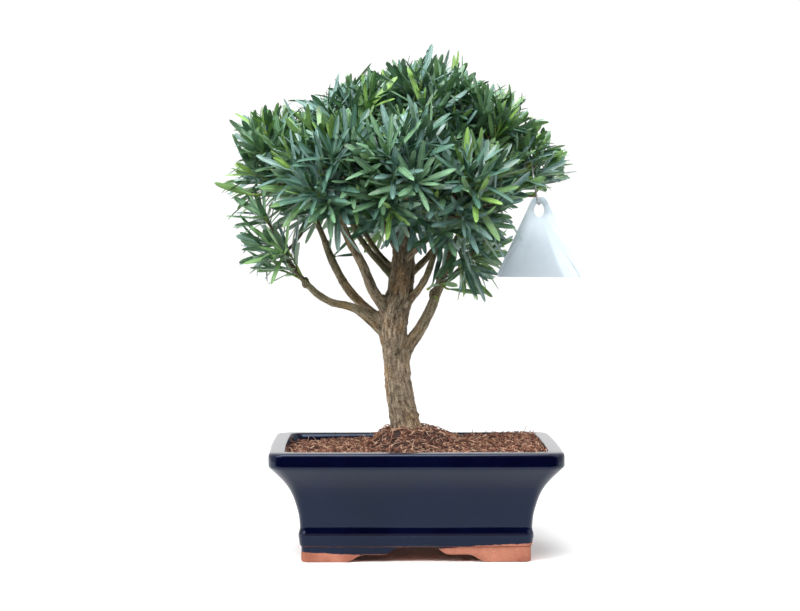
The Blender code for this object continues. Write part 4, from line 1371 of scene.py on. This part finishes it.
@dataclass(frozen=True)
class Bark:
    """The trunk and its boughs as one skin with the bark's relief.

    A knot is its middle's x, y and z and its radius, in millimetres.
    """

    plan: TreePlan
    sides: int = 20
    trunk_steps: int = 6
    bough_steps: int = 8
    voxel: float = 0.84 * MM
    collar: float = 0.5
    collar_reach: float = 9 * MM
    swelling: float = 0.07
    knot_stretch: float = 1.5
    relief: float = 1.25 * MM
    full_relief_radius: float = 12 * MM
    # Painted shade: above shade_from the bark darkens over shade_over, inside the crown where the foliage
    # shades it.
    shade_from: float = 238 * MM
    shade_over: float = 40 * MM
    # The bark is darker for a short height above the ground, stored in the same shade mark as the painted
    # shade.
    low_darkening_over: float = 22 * MM
    knots: tuple[tuple[float, float, float, float], ...] = (
        (1.6, -2, 121, 2.4), (-6.6, -2, 161, 2.9), (-31, -3, 206, 6.0), (-7, -8, 221, 4.4),
        (-24, -5, 181, 3.4), (-19, 6, 240, 4.6), (23.5, -5, 245, 4.8), (-97, -10, 240, 3.5),
        (-14, -8, 205, 5.0), (-29, -7, 222, 5.2), (16.5, -4, 229, 3.8),
    )

    def bough_radii(self, path: Sequence[Vector], radii: Sequence[float]) -> list[float]:
        """Widens a bough where it leaves the trunk, and lets it swell and shrink a little."""
        grown, run = [], 0.0
        for i, radius in enumerate(radii):
            run += (path[i] - path[i - 1]).length if i else 0
            swell = self.swelling * noise.noise(path[i] * 90)
            grown.append(radius * (1 + self.collar * math.exp(-((run / self.collar_reach) ** 2)) + swell))
        return grown

    def lines(self) -> list[tuple[list[Vector], list[float], tuple[float, float]]]:
        """Lists the centre lines, radii and greenness of the trunk and boughs."""
        found = [(*self.plan.trunk_line(self.trunk_steps), (0.0, 0.0))]
        for limb in self.plan.limbs:
            path, radii = limb.line(self.bough_steps)
            found.append((path, self.bough_radii(path, radii), limb.young))
        return found

    def raw_skin(self) -> bpy.types.Mesh:
        """Joins the limbs and knots into one smooth skin.

        Returns:
            The skin, with no relief yet.
        """
        whole = bmesh.new()
        parts = [draw_skin(tube_rings(path, radii, self.sides)) for path, radii, _ in self.lines()]
        stretch = Matrix.Diagonal((1, 1, self.knot_stretch, 1))
        for x, y, z, radius in self.knots:
            bm = bmesh.new()
            place = Matrix.Translation(Vector((x, y, z)) * MM) @ stretch
            bmesh.ops.create_icosphere(bm, subdivisions=3, radius=radius * MM, matrix=place)
            parts.append(bm)
        for bm in parts:
            mesh = to_mesh(bm, "limb")
            whole.from_mesh(mesh)
            bpy.data.meshes.remove(mesh)
        blank = add_object("bark_blank", to_mesh(whole, "bark_blank"))
        fuse = blank.modifiers.new("Fuse", "REMESH")
        fuse.mode, fuse.voxel_size = "VOXEL", self.voxel
        soften = blank.modifiers.new("Soften", "SMOOTH")
        soften.factor, soften.iterations = 0.5, 4
        return applied(blank)

    def nearest(self, points: np.ndarray) -> tuple[np.ndarray, np.ndarray, np.ndarray, np.ndarray]:
        """Finds the limb that each point of the skin belongs to.

        Args:
            points: The skin's points.

        Returns:
            Their places in their limb's own frame, with the run along it last; the directions
            out of the limb; its radii there; and how green it is.
        """
        best = np.full(len(points), np.inf)
        local, out = np.zeros_like(points), np.zeros_like(points)
        size, green = np.zeros(len(points)), np.zeros(len(points))
        for number, (path, radii, young) in enumerate(self.lines()):
            run = 0.0
            turn, facing = Quaternion(), UP.copy()
            for i in range(len(path) - 1):
                along = path[i + 1] - path[i]
                turn = facing.rotation_difference(along.normalized()) @ turn
                facing = along.normalized()
                away = points - np.array(path[i])
                share = np.clip(away @ np.array(along) / along.length_squared, 0, 1)
                off = away - share[:, None] * np.array(along)
                far = np.linalg.norm(off, axis=1)
                radius = radii[i] + (radii[i + 1] - radii[i]) * share
                nearer = far - radius < best
                best[nearer] = (far - radius)[nearer]
                place = off @ np.array(turn.to_matrix())
                place[:, 2] = run + share * along.length + 0.37 * number
                total = (i + share) / (len(path) - 1)
                tint = young[0] + (young[1] - young[0]) * total
                outward = off / np.maximum(far, 1e-9)[:, None]
                for kept, found in ((local, place), (out, outward), (size, radius), (green, tint)):
                    kept[nearer] = found[nearer]
                run += along.length
        return local, out, size, green

    def build(self) -> None:
        """Raises the bark's ridges on the skin and stores the grain that its finish follows, its greenness,
        and a shade mark: painted shade in the crown and a darkening near the ground.
        """
        skin = self.raw_skin()
        count = len(skin.vertices)
        flat = np.empty(count * 3, np.float32)
        skin.vertices.foreach_get("co", flat)
        points = flat.reshape(-1, 3).astype(float)
        local, out, size, green = self.nearest(points)
        lift = np.empty(count)
        for i, (x, y, run) in enumerate(local):
            ridge = noise.noise(Vector((x * 300, y * 300, run * 80)))
            flake = noise.noise(Vector((x * 520, y * 520, run * 230 + 40)))
            nub = noise.noise(Vector((x, y, run + 3)) * 260)
            lift[i] = 0.6 * (1 - 2.6 * abs(ridge)) + 0.5 * flake + 0.55 * nub
        strength = self.relief * np.clip(size / self.full_relief_radius, 0.3, 1.0) * (1 - 0.5 * green)
        points += out * (lift * strength)[:, None]
        points[:, 2] = np.maximum(points[:, 2], GROUND - 1.0 * MM)
        skin.vertices.foreach_set("co", points.astype(np.float32).ravel())
        # Painted shade: the bark darkens with height inside the crown, less on the thin boughs.
        shade = np.clip((points[:, 2] - self.shade_from) / self.shade_over, 0, 1) * 0.75
        shade[size < 7 * MM] *= 0.6
        # Darker near the ground; this goes into the shade mark with the painted shade.
        low_darkening = np.clip(1 - (points[:, 2] - GROUND) / self.low_darkening_over, 0, 1) * 0.35
        for name, values in (("young", green), ("shade", np.maximum(shade, low_darkening))):
            stored = skin.attributes.new(name, "FLOAT", "POINT")
            stored.data.foreach_set("value", values.astype(np.float32))
        grain = skin.attributes.new("grain", "FLOAT_VECTOR", "POINT")
        grain.data.foreach_set("vector", local.astype(np.float32).ravel())
        nodes = ("trunk", *(limb.name for limb in self.plan.limbs))
        Piece("bark", Slot.BARK, (BarkSkin("bark_skin"),), nodes, crease=180).stand(skin)


@dataclass(frozen=True)
class LabelPlan:
    """The blank label and the wire that it swings on, by the source's sizes.

    The wire's points near the hole are millimetres across, out of the front and up from the hinge,
    and those over the twig are across it and up from the wire's crest.
    """

    hinge: Vector = field(default_factory=lambda: Vector((108, -38, 309)) * MM)
    yaw: float = math.radians(-12)
    swing: float = math.radians(15)
    width: float = 76 * MM
    height: float = 70 * MM
    apex: float = 11 * MM
    over_hinge: float = 6.4 * MM
    thickness: float = 1.0 * MM
    corner: float = 3.5 * MM
    hole_half_width: float = 4.5 * MM
    hole_half_height: float = 6.0 * MM
    wire_radius: float = 0.8 * MM
    edge_softness: float = 0.22 * MM
    corner_stops: int = 9
    side_stops: int = 14
    wire_sides: int = 10
    hook_end: Vector = field(default_factory=lambda: Vector((101, -33, 345)) * MM)
    hook_mass: str = "foliage_right"
    twig_radius: float = 1.5 * MM
    hook_inset: float = 6 * MM
    near_hole: tuple[tuple[float, float, float], ...] = (
        (0, -4.6, 3.4), (0, -3.8, 0.9), (0, -1.6, 0), (0, 1.6, 0), (-0.7, 3.2, 1.4), (-1.5, 3.6, 5.5),
    )
    over_twig: tuple[tuple[float, float], ...] = (
        (-3.4, -4.4), (-2.5, -1.2), (0, 0), (2.5, -1.2), (3.2, -5.5),
    )

    def axes(self) -> tuple[Vector, Vector]:
        """Gives the label's directions: along its width, and out of its front."""
        turn = Matrix.Rotation(self.yaw, 3, "Z")
        return turn @ Vector((1, 0, 0)), turn @ Vector((0, -1, 0))

    def in_sweep(self, points: np.ndarray, margin: float) -> np.ndarray:
        """Tells which points lie in the slab that the label sweeps as it swings.

        Args:
            points: The points, one to a row.
            margin: How far round the slab counts as well.

        Returns:
            One truth for each point.
        """
        across, front = (np.array(axis) for axis in self.axes())
        away = points - np.array(self.hinge)
        side, drop = away @ across, -away[:, 2]
        distance = np.hypot(side, drop)
        low = self.height - self.over_hinge
        spread = math.atan2(self.width / 2, low) + self.swing
        edge = distance * np.sin(np.clip(np.abs(np.arctan2(side, drop)) - spread, 0, math.pi / 2))
        near = np.abs(away @ front) < self.thickness / 2 + margin + GAP
        near &= distance < math.hypot(self.width / 2, low) + margin + GAP
        return near & ((distance < 12 * MM) | (edge < margin + 2 * MM))

    def outline(self) -> Ring:
        """Draws the label's outline from its hinge: a triangle with its apex cut off."""
        low = self.over_hinge - self.height
        corners = [
            Vector((self.width / 2, 0, low)), Vector((self.apex / 2, 0, self.over_hinge)),
            Vector((-self.apex / 2, 0, self.over_hinge)), Vector((-self.width / 2, 0, low)),
        ]
        ring = []
        for i, corner in enumerate(corners):
            before, after = corners[i - 1], corners[(i + 1) % 4]
            start = corner + (before - corner).normalized() * self.corner
            end = corner + (after - corner).normalized() * self.corner
            ring += [bent(start, corner, end, t) for t in np.linspace(0, 1, self.corner_stops)]
            stop = after + (corner - after).normalized() * self.corner
            ring += [end.lerp(stop, t) for t in np.linspace(0, 1, self.side_stops)[1:-1]]
        return ring

    def hole_point(self, point: Vector, grown: float) -> Vector:
        """Gives the point of the hole's edge across from a point of the outline.

        Args:
            point: The point of the outline.
            grown: How much larger the hole is drawn.

        Returns:
            The point, at the middle of the plate's thickness.
        """
        centre = Vector((0, 0, -(self.hole_half_height - self.wire_radius - GAP)))
        angle = math.atan2(point.z - centre.z, point.x)
        reach_x, reach_z = self.hole_half_width + grown, self.hole_half_height + grown
        return centre + Vector((math.cos(angle) * reach_x, 0, math.sin(angle) * reach_z))

    def build_label(self) -> None:
        """Builds the blank plate with its hole and softened edges."""
        outline = self.outline()
        middle = Vector((0, 0, self.over_hinge - self.height * 0.6))
        soft, half = self.edge_softness, self.thickness / 2
        steps = ((soft, -half), (0, soft - half), (0, half - soft), (soft, half))
        rings = [
            [p + (middle - p).normalized() * inset + Vector((0, depth, 0)) for p in outline]
            for inset, depth in steps
        ]
        rings += [
            [self.hole_point(p, grown) + Vector((0, depth, 0)) for p in outline]
            for grown, depth in reversed(steps)
        ]
        bm = draw_skin(rings, round_trip=True)
        bm.transform(Matrix.Translation(self.hinge) @ Matrix.Rotation(self.yaw, 4, "Z"))
        plate = Piece(
            "label_plate", Slot.LABEL, (PlateMetal("plate_metal"),), ("label",), Body.LABEL, crease=50
        )
        plate.stand(to_mesh(bm, "plate"))

    def hook_twig(self, plan: TreePlan) -> tuple[Vector, Vector]:
        """Gives the twig that the wire hangs from, as its root and end."""
        carrier = next(mass for mass in plan.masses if mass.name == self.hook_mass)
        return carrier.middle(), self.hook_end

    def wire_line(self, plan: TreePlan) -> list[Vector]:
        """Gives the wire's centre line: through the hole, up, and over its twig in a hook."""
        across, front = self.axes()
        points = [self.hinge + (across * a + front * f + UP * u) * MM for a, f, u in self.near_hole]
        root, end = self.hook_twig(plan)
        heading = (end - root).normalized()
        side = heading.cross(UP).normalized()
        crest = end - heading * self.hook_inset + UP * (self.twig_radius + GAP + self.wire_radius)
        points += [crest + (side * a + UP * u) * MM for a, u in self.over_twig]
        return smooth_path(points, 6)

    def build_wire(self, plan: TreePlan) -> None:
        """Builds the bent wire."""
        path = self.wire_line(plan)
        bm = draw_skin(tube_rings(path, [self.wire_radius] * len(path), self.wire_sides))
        wire = Piece("wire_hook", Slot.WIRE, (WireMetal("wire_metal"),), ("label_wire",), crease=60)
        wire.stand(to_mesh(bm, "wire"))


@dataclass
class Clearance:
    """The limbs and the label's sweep, which leaves and twigs keep out of."""

    plan: TreePlan
    label: LabelPlan
    leaf_half: float = 1.8 * MM
    spans: list[tuple[np.ndarray, np.ndarray, float]] = field(default_factory=list)

    def __post_init__(self) -> None:
        """Lists the straight spans of the limbs and the wire."""
        for name in ("trunk", *(limb.name for limb in self.plan.limbs)):
            self.add(*self.plan.line_of(name))
        wire = self.label.wire_line(self.plan)[::3]
        self.add(wire, [2 * self.label.wire_radius] * len(wire))

    def add(self, path: Sequence[Vector], radii: Sequence[float]) -> None:
        """Adds a limb as the straight spans between its points."""
        for start, end, radius in zip(path, path[1:], radii):
            self.spans.append((np.array(start), np.array(end - start), radius))

    def clear(self, points: np.ndarray, margin: float) -> np.ndarray:
        """Tells which points are clear of everything.

        Args:
            points: The points, one to a row.
            margin: How far off they have to be.

        Returns:
            One truth for each point.
        """
        free = ~self.label.in_sweep(points, margin + self.leaf_half)
        for start, along, radius in self.spans:
            away = points - start
            share = np.clip(away @ along / (along @ along), 0, 1)
            free &= np.linalg.norm(away - share[:, None] * along, axis=1) > radius + margin
        return free


@dataclass(frozen=True)
class Shoot:
    """A leafy shoot: its root, its tip, the way that it points and its colour."""

    root: Vector
    tip: Vector
    heading: Vector
    tone: Tone
    young: bool
    leaves: int


@dataclass
class Crown:
    """The crown: twigs that grow on from the stems by the source's rule, and rosettes of leaves.

    Each mass's twigs point away from its heart all round, and each carries a shoot at its end and
    side shoots before it. A share is of a twig's length, a mass's reach or a leaf's length. The
    bow of a twig is millimetres, and what is named an opening is degrees.
    """

    plan: TreePlan
    clearance: Clearance
    outline: CrownOutline = field(default_factory=CrownOutline)
    twig_spread: float = 1.8
    twig_root: float = 0.5
    twig_root_spread: float = 0.4
    twig_bow: float = 1.5
    twig_radii: tuple[float, float] = (1.6 * MM, 1.1 * MM)
    shoot_radii: tuple[float, float] = (1.25 * MM, 0.8 * MM)
    hook_radii: tuple[float, float] = (1.7 * MM, 1.5 * MM)
    shoot_reach: float = 0.45
    shoot_depth: float = 0.62
    shoot_length: tuple[float, float] = (16 * MM, 30 * MM)
    shoot_opening: tuple[float, float] = (38, 66)
    shoot_rise: float = 0.2
    spray_size: float = 12 * MM
    side_from: float = 0.4
    side_over: float = 0.55
    leaf_length: tuple[float, float] = (38 * MM, 46 * MM)
    leaf_slimness: tuple[float, float] = (0.118, 0.146)
    leaves: tuple[int, int] = (10, 13)
    leafy_part: float = 21 * MM
    leaf_opening: tuple[float, float, float] = (10, 62, 6)
    leaf_bend: tuple[float, float] = (-0.08, 0.16)
    leaf_fold: tuple[float, float] = (0.08, 0.3)
    vigour: tuple[float, float] = (0.86, 1.08)
    youngest: float = 0.34
    shortened: tuple[float, float] = (0.88, 0.76)
    shortest: float = 0.66
    over_edge: float = 1.1
    ragged: float = 6.5 * MM
    light_from: float = 292 * MM
    light_over: float = 60 * MM
    toward_light: float = 0.45
    toward_outside: float = 0.5
    outer: float = 120 * MM
    leaf_margin: float = 0.9 * MM
    centre: Vector = field(default_factory=lambda: Vector((-12, 0, 300)) * MM)
    twigs: TubeBatch = field(default_factory=lambda: TubeBatch(6))
    greens: tuple[tuple[str, Colour, Colour, Colour], ...] = (
        ("deep", screen(70, 107, 94), screen(112, 148, 120), screen(98, 132, 98)),
        ("blue", screen(98, 132, 127), screen(142, 170, 154), screen(110, 142, 112)),
        ("mid", screen(96, 135, 104), screen(142, 172, 126), screen(114, 150, 98)),
        ("fresh", screen(110, 150, 96), screen(152, 184, 118), screen(122, 158, 94)),
        ("lime", screen(124, 165, 84), screen(162, 194, 108), screen(136, 172, 90)),
    )
    bark_finishes: tuple[TwigSkin, ...] = (
        TwigSkin("twig_brown", screen(74, 64, 46), screen(128, 114, 88)),
        TwigSkin("twig_green", screen(104, 130, 48), screen(150, 172, 78), 0.5),
    )

    def finishes(self) -> tuple[LeafSkin, ...]:
        """Lists the leaves' finishes: an upper side, a rib and an underside for each tone."""
        made = []
        for name, upper, rib, under in self.greens:
            made.append(LeafSkin(f"leaf_{name}_upper", upper))
            made.append(LeafSkin(f"leaf_{name}_rib", rib, 0.45, 0.05))
            made.append(LeafSkin(f"leaf_{name}_under", under, 0.5, 0.02))
        return tuple(made)

    def main_twigs(
        self, mass: Mass, stem: Sequence[Vector], rng: random.Random
    ) -> list[tuple[Vector, Vector]]:
        """Spreads a mass's twigs round its heart by the golden angle.

        Args:
            mass: The mass.
            stem: Its stem.
            rng: Where the chances come from.

        Returns:
            Each twig's root and end.
        """
        heart, reach = mass.middle(), Vector(mass.reach) * MM
        turn = rng.uniform(0, 2 * math.pi)
        twigs = []
        for i in range(mass.shoots):
            up = 1 - self.twig_spread * (i + 0.5) / mass.shoots
            level = math.sqrt(max(1 - up * up, 0))
            angle = turn + i * GOLDEN_ANGLE
            x, y = level * math.cos(angle) * reach.x, level * math.sin(angle) * reach.y
            way = Vector((x, y, up * reach.z))
            root = stem[1].lerp(stem[-1], self.twig_root + self.twig_root_spread * up)
            twigs.append((root, heart + way * self.shoot_reach))
        return twigs

    def deal_tone(self, tip: Vector, rng: random.Random) -> tuple[Tone, bool]:
        """Picks a shoot's colour, and whether it carries young leaves."""
        outward = (tip - self.centre).length / self.outer
        chance = rng.random()
        for below, tone, young in (
            (0.14 * outward, Tone.FRESH, 0.35), (0.44, Tone.MID, 0.25), (0.74, Tone.BLUE, 0.12),
        ):
            if chance < below:
                return tone, rng.random() < young
        return Tone.DEEP, False

    def aim(self, tip: Vector, heading: Vector) -> Vector:
        """Turns a shoot up and out of the crown, to the light."""
        outward = (tip - self.centre).normalized()
        lift = self.toward_light * max(min((tip.z - self.light_from) / self.light_over, 1), -0.25)
        return (heading + outward * self.toward_outside + UP * lift).normalized()

    def shoots_of(self, mass: Mass, rng: random.Random) -> list[Shoot]:
        """Grows the shoots of a mass, and the twigs that carry them.

        Args:
            mass: The mass.
            rng: Where the chances come from.

        Returns:
            Its leafy shoots.
        """
        stem, radii = self.plan.stem_of(mass)
        line = smooth_path(stem, 2)
        self.twigs.add(line, np.interp(np.linspace(0, 3, len(line)), range(4), radii), 0)
        shoots = []
        for root, end in self.main_twigs(mass, stem, rng):
            mid = np.array([tuple(root.lerp(end, share)) for share in (0.5, 0.75, 1)])
            if not self.clearance.clear(mid, 1.5 * MM).all():
                continue
            bow = Vector((rng.gauss(0, 1), rng.gauss(0, 1), rng.gauss(0, 1))) * self.twig_bow * MM
            bend = root.lerp(end, 0.5) + bow
            self.grow_twig(root, bend, end, self.twig_radii, 0)
            heading = (end - root).normalized()
            shoots.append(self.shoot(end, end + heading * rng.uniform(3, 8) * MM, heading, rng))
            across = heading.orthogonal().normalized()
            turn = rng.uniform(0, 2 * math.pi)
            for k in range(mass.side_shoots):
                share = self.side_from + self.side_over * (k + rng.random()) / mass.side_shoots
                start = bent(root, bend, end, share)
                around = Quaternion(heading, turn + k * GOLDEN_ANGLE) @ across
                opening = math.radians(rng.uniform(*self.shoot_opening))
                way = heading * math.cos(opening) + around * math.sin(opening)
                way = (way + UP * self.shoot_rise).normalized()
                tip = start + way * rng.uniform(*self.shoot_length)
                shoots.append(self.shoot(start, tip, way, rng))
        grown = [shoot for shoot in shoots if self.fits(shoot, mass)]
        for shown in mass.shown:
            tip, heading = Vector(shown.tip) * MM, Vector(shown.heading).normalized()
            tone, young = self.deal_tone(tip, rng)
            grown.append(Shoot(Vector(shown.root) * MM, tip, heading, tone, young, shown.leaves))
        return grown

    def shoot(self, root: Vector, tip: Vector, way: Vector, rng: random.Random) -> Shoot:
        """Makes one shoot with its colour."""
        return Shoot(root, tip, self.aim(tip, way), *self.deal_tone(tip, rng), rng.randint(*self.leaves))

    def fits(self, shoot: Shoot, mass: Mass) -> bool:
        """Tells whether a shoot stays in its mass's own space, clear of limbs and label."""
        points = np.array([tuple(shoot.root.lerp(shoot.tip, 0.6)), tuple(shoot.tip)])
        if mass.depth(points[1]) > self.shoot_depth or not self.plan.in_cell(shoot.tip, mass):
            return False
        around = np.array([[0, 0, 1], [0, 0, -1], [1, 0, 0], [-1, 0, 0]]) * self.spray_size
        if not self.outline.holds(points[1:] + around).all():
            return False
        return bool(self.clearance.clear(points, 2 * MM).all())

    def grow_twig(
        self, root: Vector, bend: Vector, end: Vector, radii: tuple[float, float], tone: int
    ) -> None:
        """Adds a curved twig.

        Args:
            root: Where it starts.
            bend: What it bends towards.
            end: Where it ends.
            radii: Its radius at each end.
            tone: Its place in the twigs' finishes.
        """
        shares = np.linspace(0, 1, 7)
        path = [bent(root, bend, end, share) for share in shares]
        self.twigs.add(path, radii[0] + (radii[1] - radii[0]) * shares, tone)

    def dress(self, shoot: Shoot, batch: LeafBatch, rng: random.Random) -> None:
        """Sets a spiral of leaves on one shoot, the youngest at its tip.

        Args:
            shoot: The shoot.
            batch: What the leaves are added to.
            rng: Where the chances come from.
        """
        stalk = (shoot.tip - shoot.root).length
        bend = shoot.tip - shoot.heading * stalk * 0.5
        self.grow_twig(shoot.root, bend, shoot.tip, self.shoot_radii, 1)
        across = shoot.heading.orthogonal().normalized()
        turn = rng.uniform(0, 2 * math.pi)
        vigour = rng.uniform(*self.vigour)
        closed, opened, uneven = self.leaf_opening
        for i in range(shoot.leaves):
            age = i / (shoot.leaves - 1)
            back = 0.3 * MM + min(self.leafy_part, 0.85 * stalk) * age
            place = bent(shoot.root, bend, shoot.tip, max(1 - back / stalk, 0))
            opening = math.radians(closed + opened * age**0.8 + rng.gauss(0, uneven))
            around = Quaternion(shoot.heading, turn + i * GOLDEN_ANGLE) @ across
            way = shoot.heading * math.cos(opening) + around * math.sin(opening)
            face = shoot.heading * math.sin(opening) - around * math.cos(opening)
            face = (face + UP * 0.35 * age).normalized()
            face = (face - way * face.dot(way)).normalized()
            fresh = shoot.young and age < self.youngest
            length = rng.uniform(*self.leaf_length) * vigour * (0.58 + 0.42 * min(age * 3.6, 1))
            slim = rng.uniform(*self.leaf_slimness)
            shape = (rng.uniform(*self.leaf_bend), rng.uniform(*self.leaf_fold))
            tone = Tone.LIME if fresh else shoot.tone
            if age > 0.7 and rng.random() < 0.3:
                tone = Tone.DEEP
            batch.add(place, way, face, (length, length * slim), shape, tone)

    def prune(self, mass: Mass, batch: LeafBatch, rng: random.Random, shown: int) -> None:
        """Shortens the leaves that pass the mass's edge and takes out those that hit something.

        Args:
            mass: The mass.
            batch: Its leaves.
            rng: Where the chances come from.
            shown: How many of the last leaves may pass the mass's own edge.
        """
        rows = np.array(batch.rows)
        outer = mass.depth(batch.points_along(rows, 1.0)) / self.over_edge
        outer[len(rows) - shown:] = 0
        inner = mass.depth(rows[:, 0:3]) / self.over_edge
        share = np.where(outer > 1, (1 - inner) / np.maximum(outer - inner, 1e-6), 1.0)
        spare = np.array([[abs(rng.gauss(0, 1))] for _ in rows]) * self.ragged / rows[:, 9:10]
        for cut in (*self.shortened, self.shortest, 0.0):
            beyond = ~self.outline.holds(batch.points_along(rows, share[:, None] + spare))
            share = np.where(beyond, np.minimum(share, cut), share)
        keep = (share >= self.shortest) & self.outline.holds(batch.points_along(rows, 0.5))
        rows[:, 9] *= np.clip(share, self.shortest, 1)
        batch.rows = [tuple(row) for row in rows]
        for along in np.linspace(0.1, 1, 10):
            keep &= self.clearance.clear(batch.points_along(rows, along), self.leaf_margin)
        batch.thin_out(keep)

    def build(self) -> None:
        """Grows every mass, and joins the twigs into one piece."""
        finishes = self.finishes()
        total = 0
        for mass in self.plan.masses:
            rng = random.Random(f"{mass.name} {SEED}")
            batch = LeafBatch()
            for shoot in self.shoots_of(mass, rng):
                self.dress(shoot, batch, rng)
            self.prune(mass, batch, rng, sum(shown.leaves for shown in mass.shown))
            total += len(batch.rows)
            name = mass.name.replace("foliage", "leaves")
            Piece(name, Slot.FOLIAGE, finishes, (mass.name,), crease=40).stand(batch.mesh(name))
        root, end = self.clearance.label.hook_twig(self.plan)
        self.grow_twig(root, root.lerp(end, 0.5), end, self.hook_radii, 1)
        Piece("twigs", Slot.BARK, self.bark_finishes, crease=180).stand(self.twigs.mesh("twigs"))
        log.info("%d leaves", total)


@dataclass(frozen=True)
class Studio:
    """The pale floor, the soft light and the camera of the photograph.

    The camera's place is millimetres from the middle of the pot. Its focal length and the point of
    the picture that it would see straight ahead if it were level are pixels. The sky is dark in
    front below a height, so that the glaze mirrors a dark room there, but the camera sees it white.
    """

    camera_place: tuple[float, float, float] = (-43.3, -1947, 294.5)
    focal: float = 2185.0
    picture: tuple[int, int] = (800, 611)
    level_point: tuple[float, float] = (366, 221)
    sensor: float = 36.0
    floor_half: float = 1.2
    floor_front: float = 0.285
    exposure: float = 0.1
    sky: float = 1.0
    dark: float = 0.02
    dark_front: tuple[float, float] = (-0.25, -0.6)
    dark_height: tuple[float, float] = (0.72, 0.5)
    lit_point: tuple[float, float, float] = (0, 0, 0.25)
    lights: tuple[tuple[str, tuple[float, float, float], float, float, Colour], ...] = (
        ("top_light", (-0.3, -0.8, 1.6), 1.3, 42, (1, 0.995, 0.98)),
        ("left_light", (-1.6, -1.3, 1.3), 1.3, 24, (0.97, 0.985, 1)),
        ("right_light", (1.8, -1.0, 1.2), 1.5, 9, (0.97, 0.985, 1)),
    )

    def build_floor(self) -> None:
        """Lays the floor, which ends between the pot and the camera as a table would."""
        bm = bmesh.new()
        middle = Matrix.Translation((0, self.floor_half - self.floor_front, 0))
        bmesh.ops.create_grid(bm, x_segments=1, y_segments=1, size=self.floor_half, matrix=middle)
        mesh = to_mesh(bm, "floor")
        mesh.materials.append(FloorPaint("floor_paint").material())
        add_object("floor", mesh)

    def build_sky(self) -> None:
        """Surrounds the scene with soft light, darker over the viewer's shoulder."""
        world = bpy.data.worlds.new("studio")
        world.use_nodes = True
        bpy.context.scene.world = world
        nodes, links = world.node_tree.nodes, world.node_tree.links
        way = nodes.new("ShaderNodeSeparateXYZ")
        links.new(nodes.new("ShaderNodeTexCoord").outputs["Generated"], way.inputs[0])
        patch = nodes.new("ShaderNodeMath")
        patch.operation = "MULTIPLY"
        for axis, span, socket in zip("YZ", (self.dark_front, self.dark_height), patch.inputs):
            fade = nodes.new("ShaderNodeMapRange")
            fade.interpolation_type = "SMOOTHSTEP"
            fade.inputs["From Min"].default_value, fade.inputs["From Max"].default_value = span
            links.new(way.outputs[axis], fade.inputs["Value"])
            links.new(fade.outputs[0], socket)
        shade = nodes.new("ShaderNodeMapRange")
        shade.inputs["To Min"].default_value = self.sky
        shade.inputs["To Max"].default_value = self.dark
        links.new(patch.outputs[0], shade.inputs["Value"])
        seen = nodes.new("ShaderNodeMix")
        seen.inputs[3].default_value = 1.0
        links.new(nodes.new("ShaderNodeLightPath").outputs["Is Camera Ray"], seen.inputs[0])
        links.new(shade.outputs[0], seen.inputs[2])
        back = nodes["Background"].inputs
        links.new(seen.outputs[0], back["Strength"])
        back["Color"].default_value = (1, 1, 1, 1)

    @staticmethod
    def aim(made: bpy.types.Object, place: Vector, way: Vector) -> None:
        """Puts a light or the camera at a place from the middle of the pot, facing a way."""
        made.location = place + pot_middle()
        made.rotation_mode = "QUATERNION"
        made.rotation_quaternion = way.to_track_quat("-Z", "Y")

    def build_lights(self) -> None:
        """Hangs the square soft lights, which face the crown."""
        for name, place, size, power, tint in self.lights:
            light = bpy.data.lights.new(name, "AREA")
            light.size, light.energy, light.color = size, power, tint
            self.aim(add_object(name, light), Vector(place), Vector(self.lit_point) - Vector(place))

    def build_camera(self) -> None:
        """Sets the camera up where the photograph was taken from."""
        width, height = self.picture
        data = bpy.data.cameras.new("camera")
        data.sensor_width = self.sensor
        data.lens = self.focal / width * self.sensor
        data.clip_end = 40
        yaw = math.atan((width / 2 - self.level_point[0]) / self.focal)
        pitch = math.atan((height / 2 - self.level_point[1]) / self.focal)
        level = math.cos(pitch)
        camera = add_object("camera", data)
        way = Vector((math.sin(yaw) * level, math.cos(yaw) * level, -math.sin(pitch)))
        self.aim(camera, Vector(self.camera_place) * MM, way)
        bpy.context.scene.camera = camera

    def build(self) -> None:
        """Sets up the whole studio."""
        self.build_floor()
        self.build_sky()
        self.build_lights()
        self.build_camera()
        settings = bpy.context.scene.view_settings
        settings.view_transform, settings.look, settings.exposure = "Standard", "None", self.exposure


def main() -> None:
    """Builds the studio and then the plant, from the pot up."""
    logging.basicConfig(level=logging.INFO, format="%(name)s: %(message)s")
    plan, label, pot = TreePlan(), LabelPlan(), Pot()
    builders: list[tuple[str, Callable[[], None]]] = [
        ("studio", Studio().build),
        ("pot", pot.build),
        ("mulch", Mulch(pot).build),
        ("bark", Bark(plan).build),
        ("crown", Crown(plan, Clearance(plan, label)).build),
        ("label", label.build_label),
        ("wire", lambda: label.build_wire(plan)),
    ]
    for name, build in builders:
        log.info("building the %s", name)
        build()


if __name__ == "__main__":
    main()
